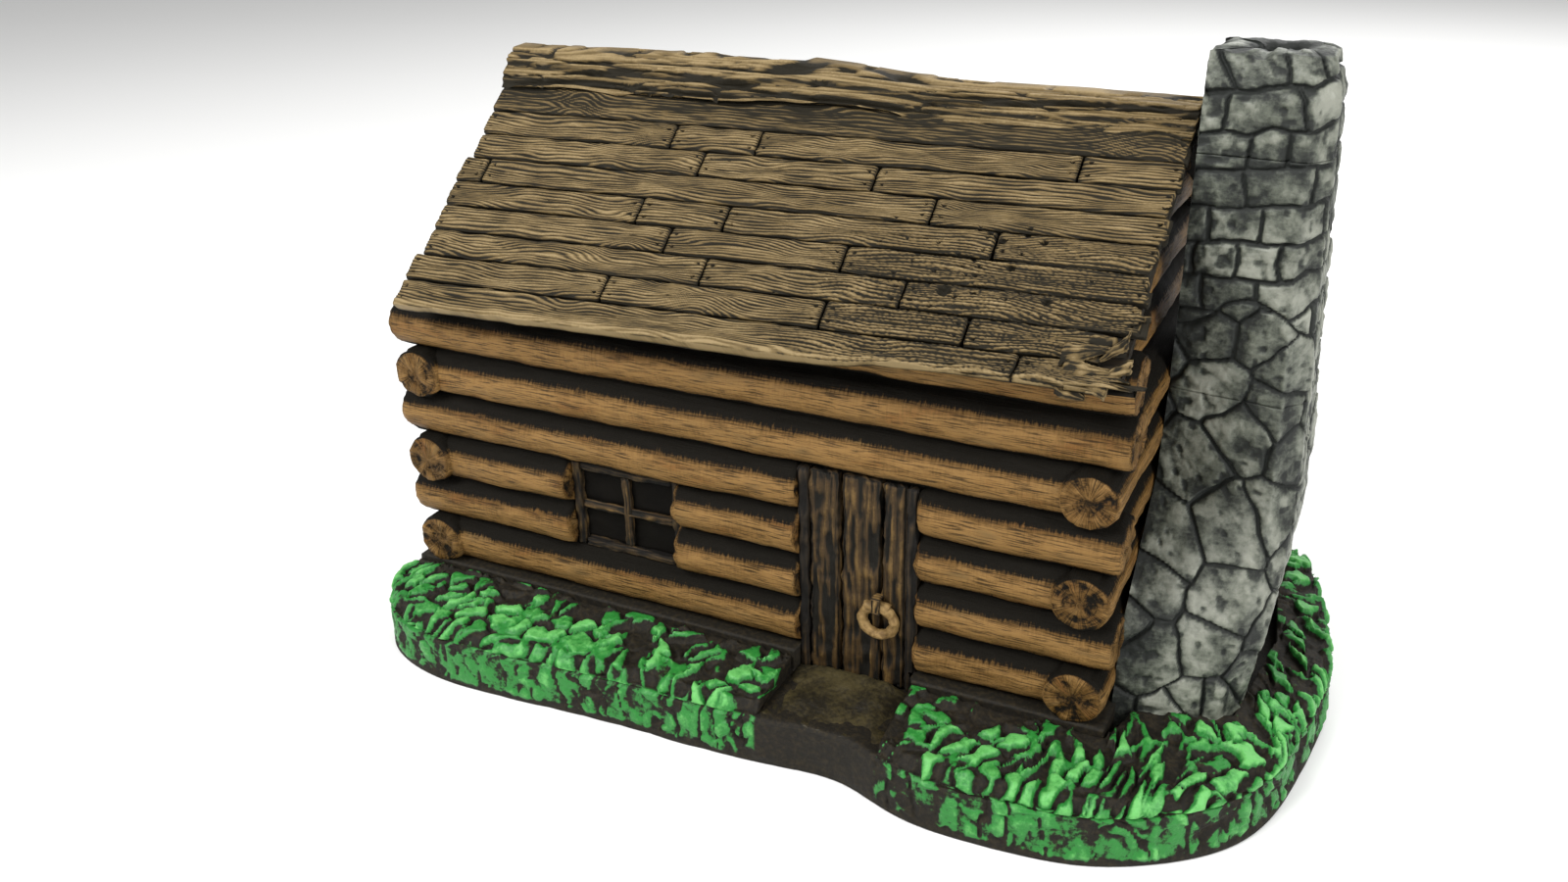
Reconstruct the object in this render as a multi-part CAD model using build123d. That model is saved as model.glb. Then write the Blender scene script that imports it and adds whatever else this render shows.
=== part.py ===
from build123d import *
import math
import os

# A small cast-resin log cabin for an aquarium: log walls, a boarded gable roof, a stone chimney on the
# right gable and a grassy ground slab. The cabin is hollow, and a mouth in the rear wall lets fish in.
# Working frame while building: X along the front wall from the centre of the left corner logs,
# Y back from the faces of the corner log ends, Z up from the underside. All lengths are millimetres.

# ---------------------------------------------------------------- driving dimensions: walls
corner_spacing = 112.0        # between the centre planes of the two side walls
wall_depth = 60.0             # between the centre planes of the front and rear walls
log_pitch = 7.8               # height of one course
log_bed = 0.4                 # a log's radius is this much more than half a course, so the logs bed
wall_courses = 6              # courses under the plate log
log_end_proud = 0.6           # side-wall log ends stand proud of the front wall's logs
side_log_overhang = 0.5       # front logs run past the side walls' outer faces by this
gable_set_back_left = 5.2     # gable logs stand back from the side wall's face
gable_set_back_right = 3.0
gable_log_bed = 0.2           # the same for the gable logs
plate_set_back = 0.4          # how far inside the roof's left edge the plate logs end

# ---------------------------------------------------------------- driving dimensions: ground
slab_height = 7.8             # top of the ground slab, which is also the path at the door
footing_height = 3.9          # the cabin's footing above the slab
footing_margin = 0.6          # footing beyond the wall faces
bank_height = 3.4             # grass banks above the slab
bank_inset = 1.6              # bank's foot inside the slab's edge
bank_slope_run = 1.8          # the bank's outer side leans in by this
slab_batter = 0.6             # the slab's side leans in by this
bank_clearance = 0.15
path_width = 19.5
path_thickness = 1.2
front_apron = 15.5            # slab in front of the log ends
rear_apron = 8.0              # slab behind the rear wall's face
left_apron = 1.2              # slab beyond the left wall's face
right_apron = 28.5            # slab beyond the right wall's face, round the chimney

# ---------------------------------------------------------------- driving dimensions: door
door_left = 68.7              # from the left corner's centre plane
door_width = 19.0
door_course = 4               # courses that the door interrupts
door_recess = 1.6             # door face behind the front logs' faces
door_board_thickness = 2.0
door_board_gap = 0.45
door_board_shares = (0.33, 0.42, 0.25)
door_backing_thickness = 1.2
jamb_width = 1.3
jamb_proud = 0.4              # jambs stand in front of the door's face
door_head_clearance = 0.1
ring_outer_radius = 3.3
ring_wire_radius = 0.75
ring_height_share = 0.36      # ring centre up the door
ring_across_share = 0.70      # ring centre across the door
staple_width = 1.5
staple_strap = 0.45           # thickness of the strap bent round the ring
staple_clearance = 0.2

# ---------------------------------------------------------------- driving dimensions: window
window_left = 27.2
window_width = 20.2
window_course_low = 2         # the window interrupts these two courses
window_course_high = 3
window_frame_width = 1.5
window_recess = 2.6           # sash face behind the front logs' faces
window_frame_depth = 2.4
muntin_width = 1.4
muntin_depth = 1.2
pane_thickness = 0.9

# ---------------------------------------------------------------- driving dimensions: cave mouth
mouth_width = 34.0            # opening in the rear wall
mouth_courses = 4             # courses that the mouth interrupts
mouth_centre_share = 0.46     # along the rear wall

# ---------------------------------------------------------------- driving dimensions: roof
ridge_above_walls = 27.3      # board surface at the ridge line, above the plate logs' tops
eave_drop_left = 4.4          # board surface at the front eave below the plate logs' tops, left end
eave_drop_right = 1.1         # the same at the right end, where the roof has lifted
eave_overhang = 3.9           # eave in front of the log ends
roof_left = 1.6               # roof's left edge, from the left corner's centre plane
roof_right_overhang = 3.6     # roof's right edge beyond the right corner's centre plane
board_thickness = 1.5
deck_thickness = 2.0
board_rows = 9
row_gap = 0.3
butt_gap = 0.35
row_stagger = 1.0             # how far the rows' left ends step in and out
front_joints = {              # butt joints in each row, as shares of the roof's length
    2: (0.32, 0.45, 0.88), 3: (0.38, 0.63), 4: (0.045, 0.72), 5: (0.32, 0.45, 0.81),
    6: (0.38, 0.63), 7: (0.45, 0.72), 8: (0.32, 0.63, 0.81), 9: (0.88,),
}
rear_joints = {2: (0.22, 0.66), 3: (0.5,), 4: (0.3, 0.78), 5: (0.6,), 6: (0.18, 0.48),
               7: (0.7,), 8: (0.35, 0.85), 9: (0.55,)}
cap_reach = 6.6               # ridge cap down each slope
cap_thickness = 1.5

# ---------------------------------------------------------------- driving dimensions: chimney
chimney_height_above_ridge = 6.6
chimney_levels = (            # share of height, half width at the wall, depth out, half width outside
    (0.00, 28.5, 16.5, 24.0),
    (0.17, 26.0, 18.6, 20.5),
    (0.27, 18.5, 19.3, 16.5),
    (0.36, 10.5, 19.3, 12.5),
    (0.50, 8.6, 18.6, 9.6),
    (0.68, 8.0, 17.6, 8.4),
    (0.86, 7.6, 16.8, 7.6),
)
chimney_shoulder_share = 0.50 # top of the splayed foot
chimney_shaft_share = 0.86    # top of the shaft, under the crown
chimney_chamfer = 3.0
crown_taper = 1.6
crown_corner = 2.6
flue_length = 6.4
flue_width = 4.6
flue_depth = 5.0
wall_clearance = 0.1

# ---------------------------------------------------------------- places that follow
log_radius = log_pitch / 2 + log_bed
gable_log_radius = log_pitch / 2 + gable_log_bed
log_face = log_end_proud                          # front logs' outermost line
front_y = log_face + log_radius                   # front wall's centre plane
rear_y = front_y + wall_depth
ridge_y = (front_y + rear_y) / 2
rear_face = rear_y + log_radius
left_face = -log_radius
right_face = corner_spacing + log_radius
floor_z = slab_height + footing_height
plate_course = wall_courses + 1
door_right = door_left + door_width
window_right = window_left + window_width
mouth_left = corner_spacing * mouth_centre_share - mouth_width / 2
mouth_right = mouth_left + mouth_width
eave_y = -eave_overhang
half_span = ridge_y - eave_y
roof_right = corner_spacing + roof_right_overhang
roof_length = roof_right - roof_left


def course_z(course):
    """Height of a course's centre line, counted from 1 at the bottom."""
    return floor_z + (course - 0.5) * log_pitch


def course_floor(course):
    return floor_z + (course - 1) * log_pitch


wall_top = course_floor(plate_course + 1)         # tops of the plate logs
ridge_height = wall_top + ridge_above_walls
eave_height_left = wall_top - eave_drop_left
eave_height_right = wall_top - eave_drop_right


def box(x0, x1, y0, y1, z0, z1):
    return Pos((x0 + x1) / 2, (y0 + y1) / 2, (z0 + z1) / 2) * Box(x1 - x0, y1 - y0, z1 - z0)


def log_along_x(x0, x1, y, course, radius=log_radius):
    """A log flattened where it beds on its neighbours, lying along the front wall."""
    z = course_z(course)
    log = Pos((x0 + x1) / 2, y, z) * Rot(0, 90, 0) * Cylinder(radius, x1 - x0)
    return log & box(x0, x1, y - radius, y + radius, z - log_pitch / 2, z + log_pitch / 2)


def log_along_y(y0, y1, x, course, radius=log_radius):
    z = course_z(course)
    log = Pos(x, (y0 + y1) / 2, z) * Rot(90, 0, 0) * Cylinder(radius, y1 - y0)
    return log & box(x - radius, x + radius, y0, y1, z - log_pitch / 2, z + log_pitch / 2)


parts = {}

# ---------------------------------------------------------------- roof geometry, needed by the walls
# Each slope is a slightly twisted sheet: its ridge is level and its eave is higher at the right end.


def eave_height(x):
    share = (x - roof_left) / roof_length
    return eave_height_left + share * (eave_height_right - eave_height_left)


def slope_factor(x):
    """Length along the slope for one millimetre of level distance."""
    return math.hypot(half_span, ridge_height - eave_height(x)) / half_span


def roof_point(x, share, depth, rear=False):
    """A point `share` of the way from ridge to eave, `depth` below the board surface."""
    y = ridge_y + share * half_span if rear else ridge_y - share * half_span
    z = ridge_height + share * (eave_height(x) - ridge_height) - depth * slope_factor(x)
    return (x, y, z)


def roof_strip(x0, x1, share0, share1, top, bottom, rear=False):
    """A length of one slope between two depths, as a solid lofted from its left end to its right end."""
    ends = []
    for x in (x0, x1):
        corners = [roof_point(x, share0, top, rear), roof_point(x, share1, top, rear),
                   roof_point(x, share1, bottom, rear), roof_point(x, share0, bottom, rear)]
        ends.append(Face(Wire.make_polygon([Vector(*c) for c in corners], close=True)))
    return Solid.make_loft([ends[0].outer_wire(), ends[1].outer_wire()], ruled=True)


cap_share = cap_reach / (half_span * slope_factor(roof_left))


def row_shares(row):
    """The top row runs on under the ridge cap; the others share the open slope equally."""
    gap = row_gap / (half_span * slope_factor(roof_left))
    step = (1 - cap_share) / board_rows
    low = gap / 2 if row == 1 else cap_share + (row - 1) * step + gap / 2
    return low, cap_share + row * step - gap / 2


def board_row(row, joints, rear):
    """One row of boards, butted at the given joints, with its left end stepped in or out."""
    step = row_stagger * ((row * 5 + (3 if rear else 0)) % 4) / 3
    starts = [roof_left + step]
    ends = []
    for joint in joints:
        x = roof_left + joint * roof_length
        ends.append(x - butt_gap / 2)
        starts.append(x + butt_gap / 2)
    ends.append(roof_right)
    low, high = row_shares(row)
    return [roof_strip(a, b, low, high, 0, board_thickness, rear) for a, b in zip(starts, ends)]


deck_top = board_thickness
deck_bottom = board_thickness + deck_thickness
parts["roof_deck_front"] = roof_strip(roof_left, roof_right, 0, 1, deck_top, deck_bottom)
parts["roof_deck_rear"] = roof_strip(roof_left, roof_right, 0, 1, deck_top, deck_bottom, rear=True)
for row in range(1, board_rows + 1):
    parts[f"front_roof_boards_row_{row}"] = Compound(board_row(row, front_joints.get(row, ()), False))
rear_boards = []
for row in range(1, board_rows + 1):
    rear_boards += board_row(row, rear_joints.get(row, ()), True)
parts["rear_roof_boards"] = Compound(rear_boards)


def cap_section(x):
    front = roof_point(x, cap_share, 0)
    rear = roof_point(x, cap_share, 0, rear=True)
    crest = ridge_height + cap_thickness * slope_factor(x)
    lip = cap_thickness
    flat = cap_thickness * 0.6
    outline = [front, (x, ridge_y, ridge_height), rear, (x, rear[1], rear[2] + lip),
               (x, ridge_y + flat, crest), (x, ridge_y - flat, crest), (x, front[1], front[2] + lip)]
    return Wire.make_polygon([Vector(*c) for c in outline], close=True)


parts["ridge_cap"] = Solid.make_loft([cap_section(roof_left), cap_section(roof_right)], ruled=True)

roof_tool = []
for rear in (False, True):
    roof_tool.append(roof_strip(roof_left - 20, roof_right + 20, -0.001, 1.6, -60, deck_bottom, rear))


def under_roof(solid):
    for tool in roof_tool:
        solid = solid - tool
    return solid


# ---------------------------------------------------------------- side walls
# Odd courses counted from the bottom show round log ends at the front; even courses butt behind the
# front and rear logs, which run through at the corners.
side_log_ends = (0.0, rear_face + log_end_proud)
side_logs = {}
for side, x in (("left", 0.0), ("right", corner_spacing)):
    for course in range(1, wall_courses + 1):
        if course % 2:
            log = log_along_y(*side_log_ends, x, course)
        else:
            log = log_along_y(front_y, rear_y, x, course)
            for y in (front_y, rear_y):
                log = log - log_along_x(left_face - 5, right_face + 5, y, course)
        side_logs[side, course] = log

for course in range(1, wall_courses + 1):
    parts[f"right_wall_log_{course}"] = side_logs["right", course]
for course in (1, 3, 5):
    parts[f"left_wall_log_{course}"] = side_logs["left", course]
parts["left_wall_butted_logs"] = Compound([side_logs["left", c] for c in (2, 4, 6)])


# ---------------------------------------------------------------- front and rear walls
def wall_log(course, y, x0=None, x1=None):
    """A front or rear log, whole or a length of it, coped round the side logs that pass it."""
    through = course % 2 == 0 or course == plate_course
    full0 = left_face - side_log_overhang if through else 0.0
    full1 = right_face + side_log_overhang if through else corner_spacing
    log = log_along_x(full0 if x0 is None else x0, full1 if x1 is None else x1, y, course)
    if not through:
        for x in (0.0, corner_spacing):
            log = log - log_along_y(*side_log_ends, x, course)
    return log


for course in range(1, door_course + 1):
    cut_by_window = window_course_low <= course <= window_course_high
    if cut_by_window:
        parts[f"front_log_{course}_left"] = wall_log(course, front_y, None, window_left)
        parts[f"front_log_{course}_middle"] = wall_log(course, front_y, window_right, door_left)
    else:
        parts[f"front_log_{course}_left"] = wall_log(course, front_y, None, door_left)
    parts[f"front_log_{course}_right"] = wall_log(course, front_y, door_right, None)
for course in range(door_course + 1, wall_courses + 1):
    parts[f"front_log_{course}"] = wall_log(course, front_y)
parts["front_plate_log"] = under_roof(wall_log(plate_course, front_y, roof_left + plate_set_back, None))

mouth_logs = []
for course in range(1, mouth_courses + 1):
    mouth_logs.append(wall_log(course, rear_y, None, mouth_left))
    mouth_logs.append(wall_log(course, rear_y, mouth_right, None))
parts["rear_logs_beside_mouth"] = Compound(mouth_logs)
for course in range(mouth_courses + 1, wall_courses + 1):
    parts[f"rear_log_{course}"] = wall_log(course, rear_y)
parts["rear_plate_log"] = under_roof(wall_log(plate_course, rear_y, roof_left + plate_set_back, None))

# ---------------------------------------------------------------- gables
gable_left_x = left_face + gable_set_back_left + gable_log_radius
gable_right_x = right_face - gable_set_back_right - gable_log_radius
for side, x in (("left", gable_left_x), ("right", gable_right_x)):
    logs = []
    course = plate_course
    while course_floor(course) + log_pitch / 2 < ridge_height - deck_bottom:
        low, high = (front_y, rear_y) if course == plate_course else (eave_y, rear_face)
        log = log_along_y(low, high, x, course, gable_log_radius)
        if course == plate_course:
            for y in (front_y, rear_y):
                log = log - log_along_x(left_face - 5, right_face + 5, y, course)
        log = under_roof(log)
        logs += [s for s in log.solids() if s.volume > 20]
        course += 1
    parts[f"{side}_gable_logs"] = Compound(logs)

# ---------------------------------------------------------------- door
door_z0 = slab_height
door_z1 = course_floor(door_course + 1) - door_head_clearance
door_face = log_face + door_recess
board_y1 = door_face + door_board_thickness
backing_y1 = board_y1 + door_backing_thickness
frame = box(door_left, door_right, door_face - jamb_proud, backing_y1, door_z0, door_z1)
frame = frame - box(door_left + jamb_width, door_right - jamb_width, door_face - 1, board_y1, door_z0 - 1, door_z1 + 1)
parts["door_frame"] = frame
board_room = door_width - 2 * jamb_width - 4 * door_board_gap
board_x = door_left + jamb_width + door_board_gap
board_names = ("door_board_left", "door_board_middle", "door_board_right")
for name, share in zip(board_names, door_board_shares):
    width = board_room * share
    parts[name] = box(board_x, board_x + width, door_face, board_y1, door_z0, door_z1)
    board_x += width + door_board_gap

ring_x = door_left + ring_across_share * door_width
ring_z = door_z0 + ring_height_share * (door_z1 - door_z0)
ring_y = door_face - ring_wire_radius
ring_path_radius = ring_outer_radius - ring_wire_radius
parts["door_ring"] = Pos(ring_x, ring_y, ring_z) * Rot(90, 0, 0) * Torus(ring_path_radius, ring_wire_radius)
staple_z = ring_z + ring_path_radius
staple_room = ring_wire_radius + staple_clearance
staple_y = door_face - 2 * ring_wire_radius - staple_clearance
staple_x = (ring_x - staple_width / 2, ring_x + staple_width / 2)
strap = box(*staple_x, staple_y - staple_strap, door_face, staple_z - staple_room - staple_strap,
            staple_z + staple_room + staple_strap)
parts["ring_staple"] = strap - box(staple_x[0] - 1, staple_x[1] + 1, staple_y, door_face + 1,
                                   staple_z - staple_room, staple_z + staple_room)

# ---------------------------------------------------------------- window
window_z0 = course_floor(window_course_low)
window_z1 = course_floor(window_course_high + 1)
sash_y0 = log_face + window_recess
sash_y1 = sash_y0 + window_frame_depth
inner = (window_left + window_frame_width, window_right - window_frame_width,
         window_z0 + window_frame_width, window_z1 - window_frame_width)
frame = box(window_left, window_right, sash_y0, sash_y1, window_z0, window_z1)
parts["window_frame"] = frame - box(inner[0], inner[1], sash_y0 - 1, sash_y1 + 1, inner[2], inner[3])
middle_x = (inner[0] + inner[1]) / 2
middle_z = (inner[2] + inner[3]) / 2
muntin_y0 = sash_y0 + (window_frame_depth - muntin_depth - pane_thickness) / 2
upright = box(middle_x - muntin_width / 2, middle_x + muntin_width / 2, muntin_y0, muntin_y0 + muntin_depth,
              inner[2], inner[3])
level = box(inner[0], inner[1], muntin_y0, muntin_y0 + muntin_depth,
            middle_z - muntin_width / 2, middle_z + muntin_width / 2)
parts["window_muntins"] = upright + level
parts["window_panes"] = box(inner[0], inner[1], muntin_y0 + muntin_depth,
                            muntin_y0 + muntin_depth + pane_thickness, inner[2], inner[3])

# ---------------------------------------------------------------- ground
left_edge = left_face - left_apron
right_edge = right_face + right_apron
front_edge = -front_apron
rear_edge = rear_face + rear_apron
path_mid = door_left + door_width / 2
outline = [                   # dented where the path reaches the front, rounded wide round the chimney
    (left_edge, 4.0), (left_edge + 1.6, front_edge + 4.6), (8.0, front_edge - 0.6),
    (24.0, front_edge - 0.6), (path_mid - 30, front_edge + 1.0), (path_mid - 8, front_edge + 2.0),
    (path_mid + 4, front_edge + 2.6), (path_mid + 13, front_edge - 0.4),
    (corner_spacing - 6, front_edge - 1.2), (right_face + 2, front_edge + 0.6),
    (right_edge - 18, front_edge + 4.6), (right_edge - 8, front_edge + 13.5),
    (right_edge - 1.6, ridge_y - 16), (right_edge, ridge_y), (right_edge - 2.4, ridge_y + 16),
    (right_edge - 10, rear_face + rear_apron * 0.1), (right_edge - 22, rear_edge - 2.0),
    (corner_spacing - 8, rear_edge), (corner_spacing * 0.5, rear_edge - 0.6),
    (10.0, rear_edge - 0.2), (left_edge + 2.4, rear_edge - 3.6), (left_edge, rear_face - 2),
    (left_edge + 0.4, ridge_y),
]
slab_centre = ((left_edge + right_edge) / 2, ridge_y)


def ground_edge(inset, z):
    """The ground's outline, drawn in towards the slab's centre, at a height."""
    points = []
    for x, y in outline:
        dx, dy = slab_centre[0] - x, slab_centre[1] - y
        share = inset / math.hypot(dx, dy)
        points.append((x + share * dx, y + share * dy, z))
    return Wire([Spline(*points, periodic=True)])


slab = Solid.make_loft([ground_edge(0, 0), ground_edge(slab_batter, slab_height)], ruled=True)
footing = box(left_face - footing_margin, right_face + footing_margin, log_face - footing_margin,
              rear_face + footing_margin, slab_height, floor_z)
footing = footing - box(door_left, door_right, -20, backing_y1, slab_height - 1, floor_z + 1)
parts["ground_slab"] = slab + footing

path_edge = front_edge + 3.6
path = box(path_mid - path_width / 2, path_mid + path_width / 2, path_edge, door_face - 0.4,
           slab_height - path_thickness, slab_height)
parts["ground_slab"] = parts["ground_slab"] - path
parts["door_path"] = path

# ---------------------------------------------------------------- chimney
chimney_x = right_face + wall_clearance
chimney_top = ridge_height + chimney_height_above_ridge
chimney_rise = chimney_top - slab_height


def chimney_wire(wall_half, out, outer_half, z):
    """The stonework's outline: flat to the wall, with its outside corners chamfered."""
    chamfer = min(chimney_chamfer, outer_half * 0.35)
    half = [(0, wall_half), (out - chamfer, outer_half + chamfer * 0.35), (out, outer_half - chamfer)]
    points = [(chimney_x + x, ridge_y - y, z) for x, y in half]
    points += [(chimney_x + x, ridge_y + y, z) for x, y in reversed(half)]
    return Wire.make_polygon([Vector(*p) for p in points], close=True)


def chimney_section(share):
    for lower, upper in zip(chimney_levels, chimney_levels[1:]):
        if share <= upper[0]:
            break
    t = (share - lower[0]) / (upper[0] - lower[0])
    sizes = [lower[i] + t * (upper[i] - lower[i]) for i in (1, 2, 3)]
    return chimney_wire(*sizes, slab_height + share * chimney_rise)


foot_shares = [level[0] for level in chimney_levels if level[0] <= chimney_shoulder_share]
foot = Solid.make_loft([chimney_section(s) for s in foot_shares], ruled=True)
shaft_shares = [level[0] for level in chimney_levels
                if chimney_shoulder_share <= level[0] <= chimney_shaft_share]
shaft = Solid.make_loft([chimney_section(s) for s in shaft_shares], ruled=True)
foot = foot - box(chimney_x - 5, right_face + footing_margin, -50, rear_face + 50, 0, floor_z)
for course in range(2, wall_courses + 1, 2):      # the through logs' ends stand out into the stonework
    for y in (front_y, rear_y):
        foot = foot - log_along_x(corner_spacing, right_face + side_log_overhang, y, course)
parts["chimney_foot"] = foot
parts["chimney_shaft"] = shaft

level = chimney_levels[-1]
crown_z0 = slab_height + level[0] * chimney_rise
crown_length = level[2]
crown_width = 2 * level[1]
crown_face = Pos(chimney_x + crown_length / 2, ridge_y, crown_z0) * RectangleRounded(crown_length, crown_width, crown_corner)
crown_rise = chimney_top - crown_z0
crown_angle = math.degrees(math.atan2(crown_taper, crown_rise))
crown = extrude(crown_face, crown_rise, taper=crown_angle)
flue = box(chimney_x + crown_length / 2 - flue_length / 2, chimney_x + crown_length / 2 + flue_length / 2,
           ridge_y - flue_width / 2, ridge_y + flue_width / 2, chimney_top - flue_depth, chimney_top + 1)
parts["chimney_crown"] = crown - flue

# ---------------------------------------------------------------- grass banks
bank_foot = slab_batter + bank_inset
bank_all = Solid.make_loft([ground_edge(bank_foot, slab_height),
                            ground_edge(bank_foot + bank_slope_run, slab_height + bank_height)], ruled=True)
house = box(left_face - footing_margin - bank_clearance, right_face + footing_margin + bank_clearance,
            log_face - footing_margin - bank_clearance, rear_face + footing_margin + bank_clearance,
            0, floor_z + 20)
grown = [max(level[i] for level in chimney_levels[:2]) + 3 * bank_clearance for i in (1, 2, 3)]
chimney_room = Solid.make_loft([chimney_wire(*grown, 0), chimney_wire(*grown, floor_z + 20)], ruled=True)
path_room = box(path_mid - path_width / 2 - bank_clearance, path_mid + path_width / 2 + bank_clearance,
                -60, front_y, 0, 60)
mouth_room = box(mouth_left, mouth_right, rear_face - 1, rear_face + 60, 0, 60)
banks = bank_all - house - chimney_room - path_room - mouth_room
quarter_x = left_face - 60


def bank(x0, x1, y0, y1):
    piece = banks & box(x0, x1, y0, y1, 0, 60)
    return Compound([s for s in piece.solids() if s.volume > 5])


split_y = ridge_y
split_x = path_mid
parts["grass_bank_front_left"] = bank(quarter_x, split_x, -60, split_y)
parts["grass_bank_right"] = bank(split_x, right_face + 60, -60, rear_y)
parts["grass_bank_rear_right"] = bank(mouth_right - 1, right_face + 60, rear_y, rear_y + 60)
parts["grass_bank_rear_left"] = bank(quarter_x, mouth_left + 1, split_y, rear_y + 60)

# ---------------------------------------------------------------- place the origin and write the parts
everything = Compound([s for p in parts.values() for s in p.solids()])
bounds = everything.bounding_box()
shift = Vector(-(bounds.min.X + bounds.max.X) / 2, -(bounds.min.Y + bounds.max.Y) / 2, -bounds.min.Z)
os.makedirs("parts", exist_ok=True)
for name, piece in parts.items():
    solids = [s.moved(Location(shift)) for s in piece.solids()]
    export_step(solids[0] if len(solids) == 1 else Compound(solids), f"parts/{name}.step")
print(len(parts), "parts; overall", bounds.size, "shift", shift)
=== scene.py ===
# %% [markdown]
# # A cast resin log cabin for an aquarium
# The real ornament is sculpted once, cast in resin, painted black-brown all over and then dry-brushed, so
# that colour stays on the raised detail and black stays in the seams. The scene follows the same order:
# every piece is first carved as a mesh, each carved piece remembers how high its surface stands, and the
# paint reads that height.

# %% Load the frame
import math

import bpy
import numpy as np
from mathutils import Euler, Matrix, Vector


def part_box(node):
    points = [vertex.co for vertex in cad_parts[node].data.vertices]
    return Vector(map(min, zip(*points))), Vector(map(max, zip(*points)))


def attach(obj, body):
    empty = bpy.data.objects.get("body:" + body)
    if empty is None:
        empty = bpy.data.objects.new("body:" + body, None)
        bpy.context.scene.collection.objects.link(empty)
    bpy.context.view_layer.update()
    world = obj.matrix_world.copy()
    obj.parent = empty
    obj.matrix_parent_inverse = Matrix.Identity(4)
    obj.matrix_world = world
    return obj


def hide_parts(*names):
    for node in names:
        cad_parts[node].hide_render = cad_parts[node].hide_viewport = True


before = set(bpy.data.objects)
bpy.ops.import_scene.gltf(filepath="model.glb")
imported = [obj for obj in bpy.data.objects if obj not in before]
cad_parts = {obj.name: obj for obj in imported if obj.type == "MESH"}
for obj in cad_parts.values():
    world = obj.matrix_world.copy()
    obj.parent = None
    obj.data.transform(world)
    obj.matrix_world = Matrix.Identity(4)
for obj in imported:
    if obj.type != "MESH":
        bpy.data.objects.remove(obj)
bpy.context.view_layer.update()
MM = 0.001

# %% [markdown]
# ## Camera, floor and light
# The ornament is seen from a little above the door side, with the chimney nearest on the right. A wide lens
# close to a small object gives the strong convergence of a table-top view. The floor and lights are plain.

# %% Camera
CAMERA_FROM_CORNER = Vector((0.1446, -0.1543, 0.1138))     # from the heart of the lowest left log end
AZIMUTH, ELEVATION, ROLL = math.radians(26.5), math.radians(25.4), math.radians(-1.3)
LENS = 30.4

camera_data = bpy.data.cameras.new("camera")
camera_data.lens = LENS
camera_data.clip_start = 0.005
camera = bpy.data.objects.new("camera", camera_data)
bpy.context.scene.collection.objects.link(camera)
turn = Euler((math.pi / 2 - ELEVATION, 0, AZIMUTH)).to_matrix() @ Euler((0, 0, ROLL)).to_matrix()
corner_low, corner_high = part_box("left_wall_log_1")
corner = Vector(((corner_low.x + corner_high.x) / 2, corner_low.y, (corner_low.z + corner_high.z) / 2))
camera.location = corner + CAMERA_FROM_CORNER
camera.rotation_euler = turn.to_euler()
bpy.context.scene.camera = camera
print("camera at", tuple(camera.location))

# %% Floor and lights
bpy.ops.object.select_all(action="DESELECT")
bpy.ops.mesh.primitive_plane_add(size=3.0, location=(0, 0, -0.0002))
floor = bpy.context.object
floor.name = "floor"


def area_light(name, place, target, size, watts):
    data = bpy.data.lights.new(name, "AREA")
    data.size = size
    data.energy = watts
    light = bpy.data.objects.new(name, data)
    light.location = place
    light.rotation_euler = (Vector(target) - Vector(place)).to_track_quat("-Z", "Y").to_euler()
    bpy.context.scene.collection.objects.link(light)
    return light


area_light("key", (-0.25, -0.42, 0.52), (0, 0, 0.04), 0.30, 4.9)
area_light("side", (0.55, -0.25, 0.40), (0.03, 0, 0.05), 0.30, 3.4)
area_light("back", (0.10, 0.55, 0.55), (0, 0, 0.04), 0.50, 3.5)
world = bpy.data.worlds.new("studio")
world.use_nodes = True
world.node_tree.nodes["Background"].inputs["Color"].default_value = (1.0, 1.0, 1.0, 1)
world.node_tree.nodes["Background"].inputs["Strength"].default_value = 0.45
bpy.context.scene.world = world
bpy.context.scene.view_settings.view_transform = "Standard"

# %% [markdown]
# ## Shader helpers
# Shader maths reads better as arithmetic. `Wire` wraps one socket, so that `1 - mask` or `mask * 0.4` adds
# the Math nodes by itself. `Paint` makes a material and has one method, `node`, for every other kind of node.


# %% Shader helpers
class Wire:
    """One output socket of a material, with the arithmetic operators."""

    def __init__(self, paint, socket):
        self.paint, self.socket = paint, socket

    def _math(self, operation, first, second):
        return self.paint.node("ShaderNodeMath", {"operation": operation}, {0: first, 1: second})

    def __add__(self, other):
        return self._math("ADD", self, other)

    __radd__ = __add__

    def __mul__(self, other):
        return self._math("MULTIPLY", self, other)

    __rmul__ = __mul__

    def __sub__(self, other):
        return self._math("SUBTRACT", self, other)

    def __rsub__(self, other):
        return self._math("SUBTRACT", other, self)

    def step(self, low, high):
        """0 below low, 1 above high and smooth between."""
        sockets = {"Value": self, "From Min": low, "From Max": high}
        return self.paint.node("ShaderNodeMapRange", {"interpolation_type": "SMOOTHSTEP"}, sockets)


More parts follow.
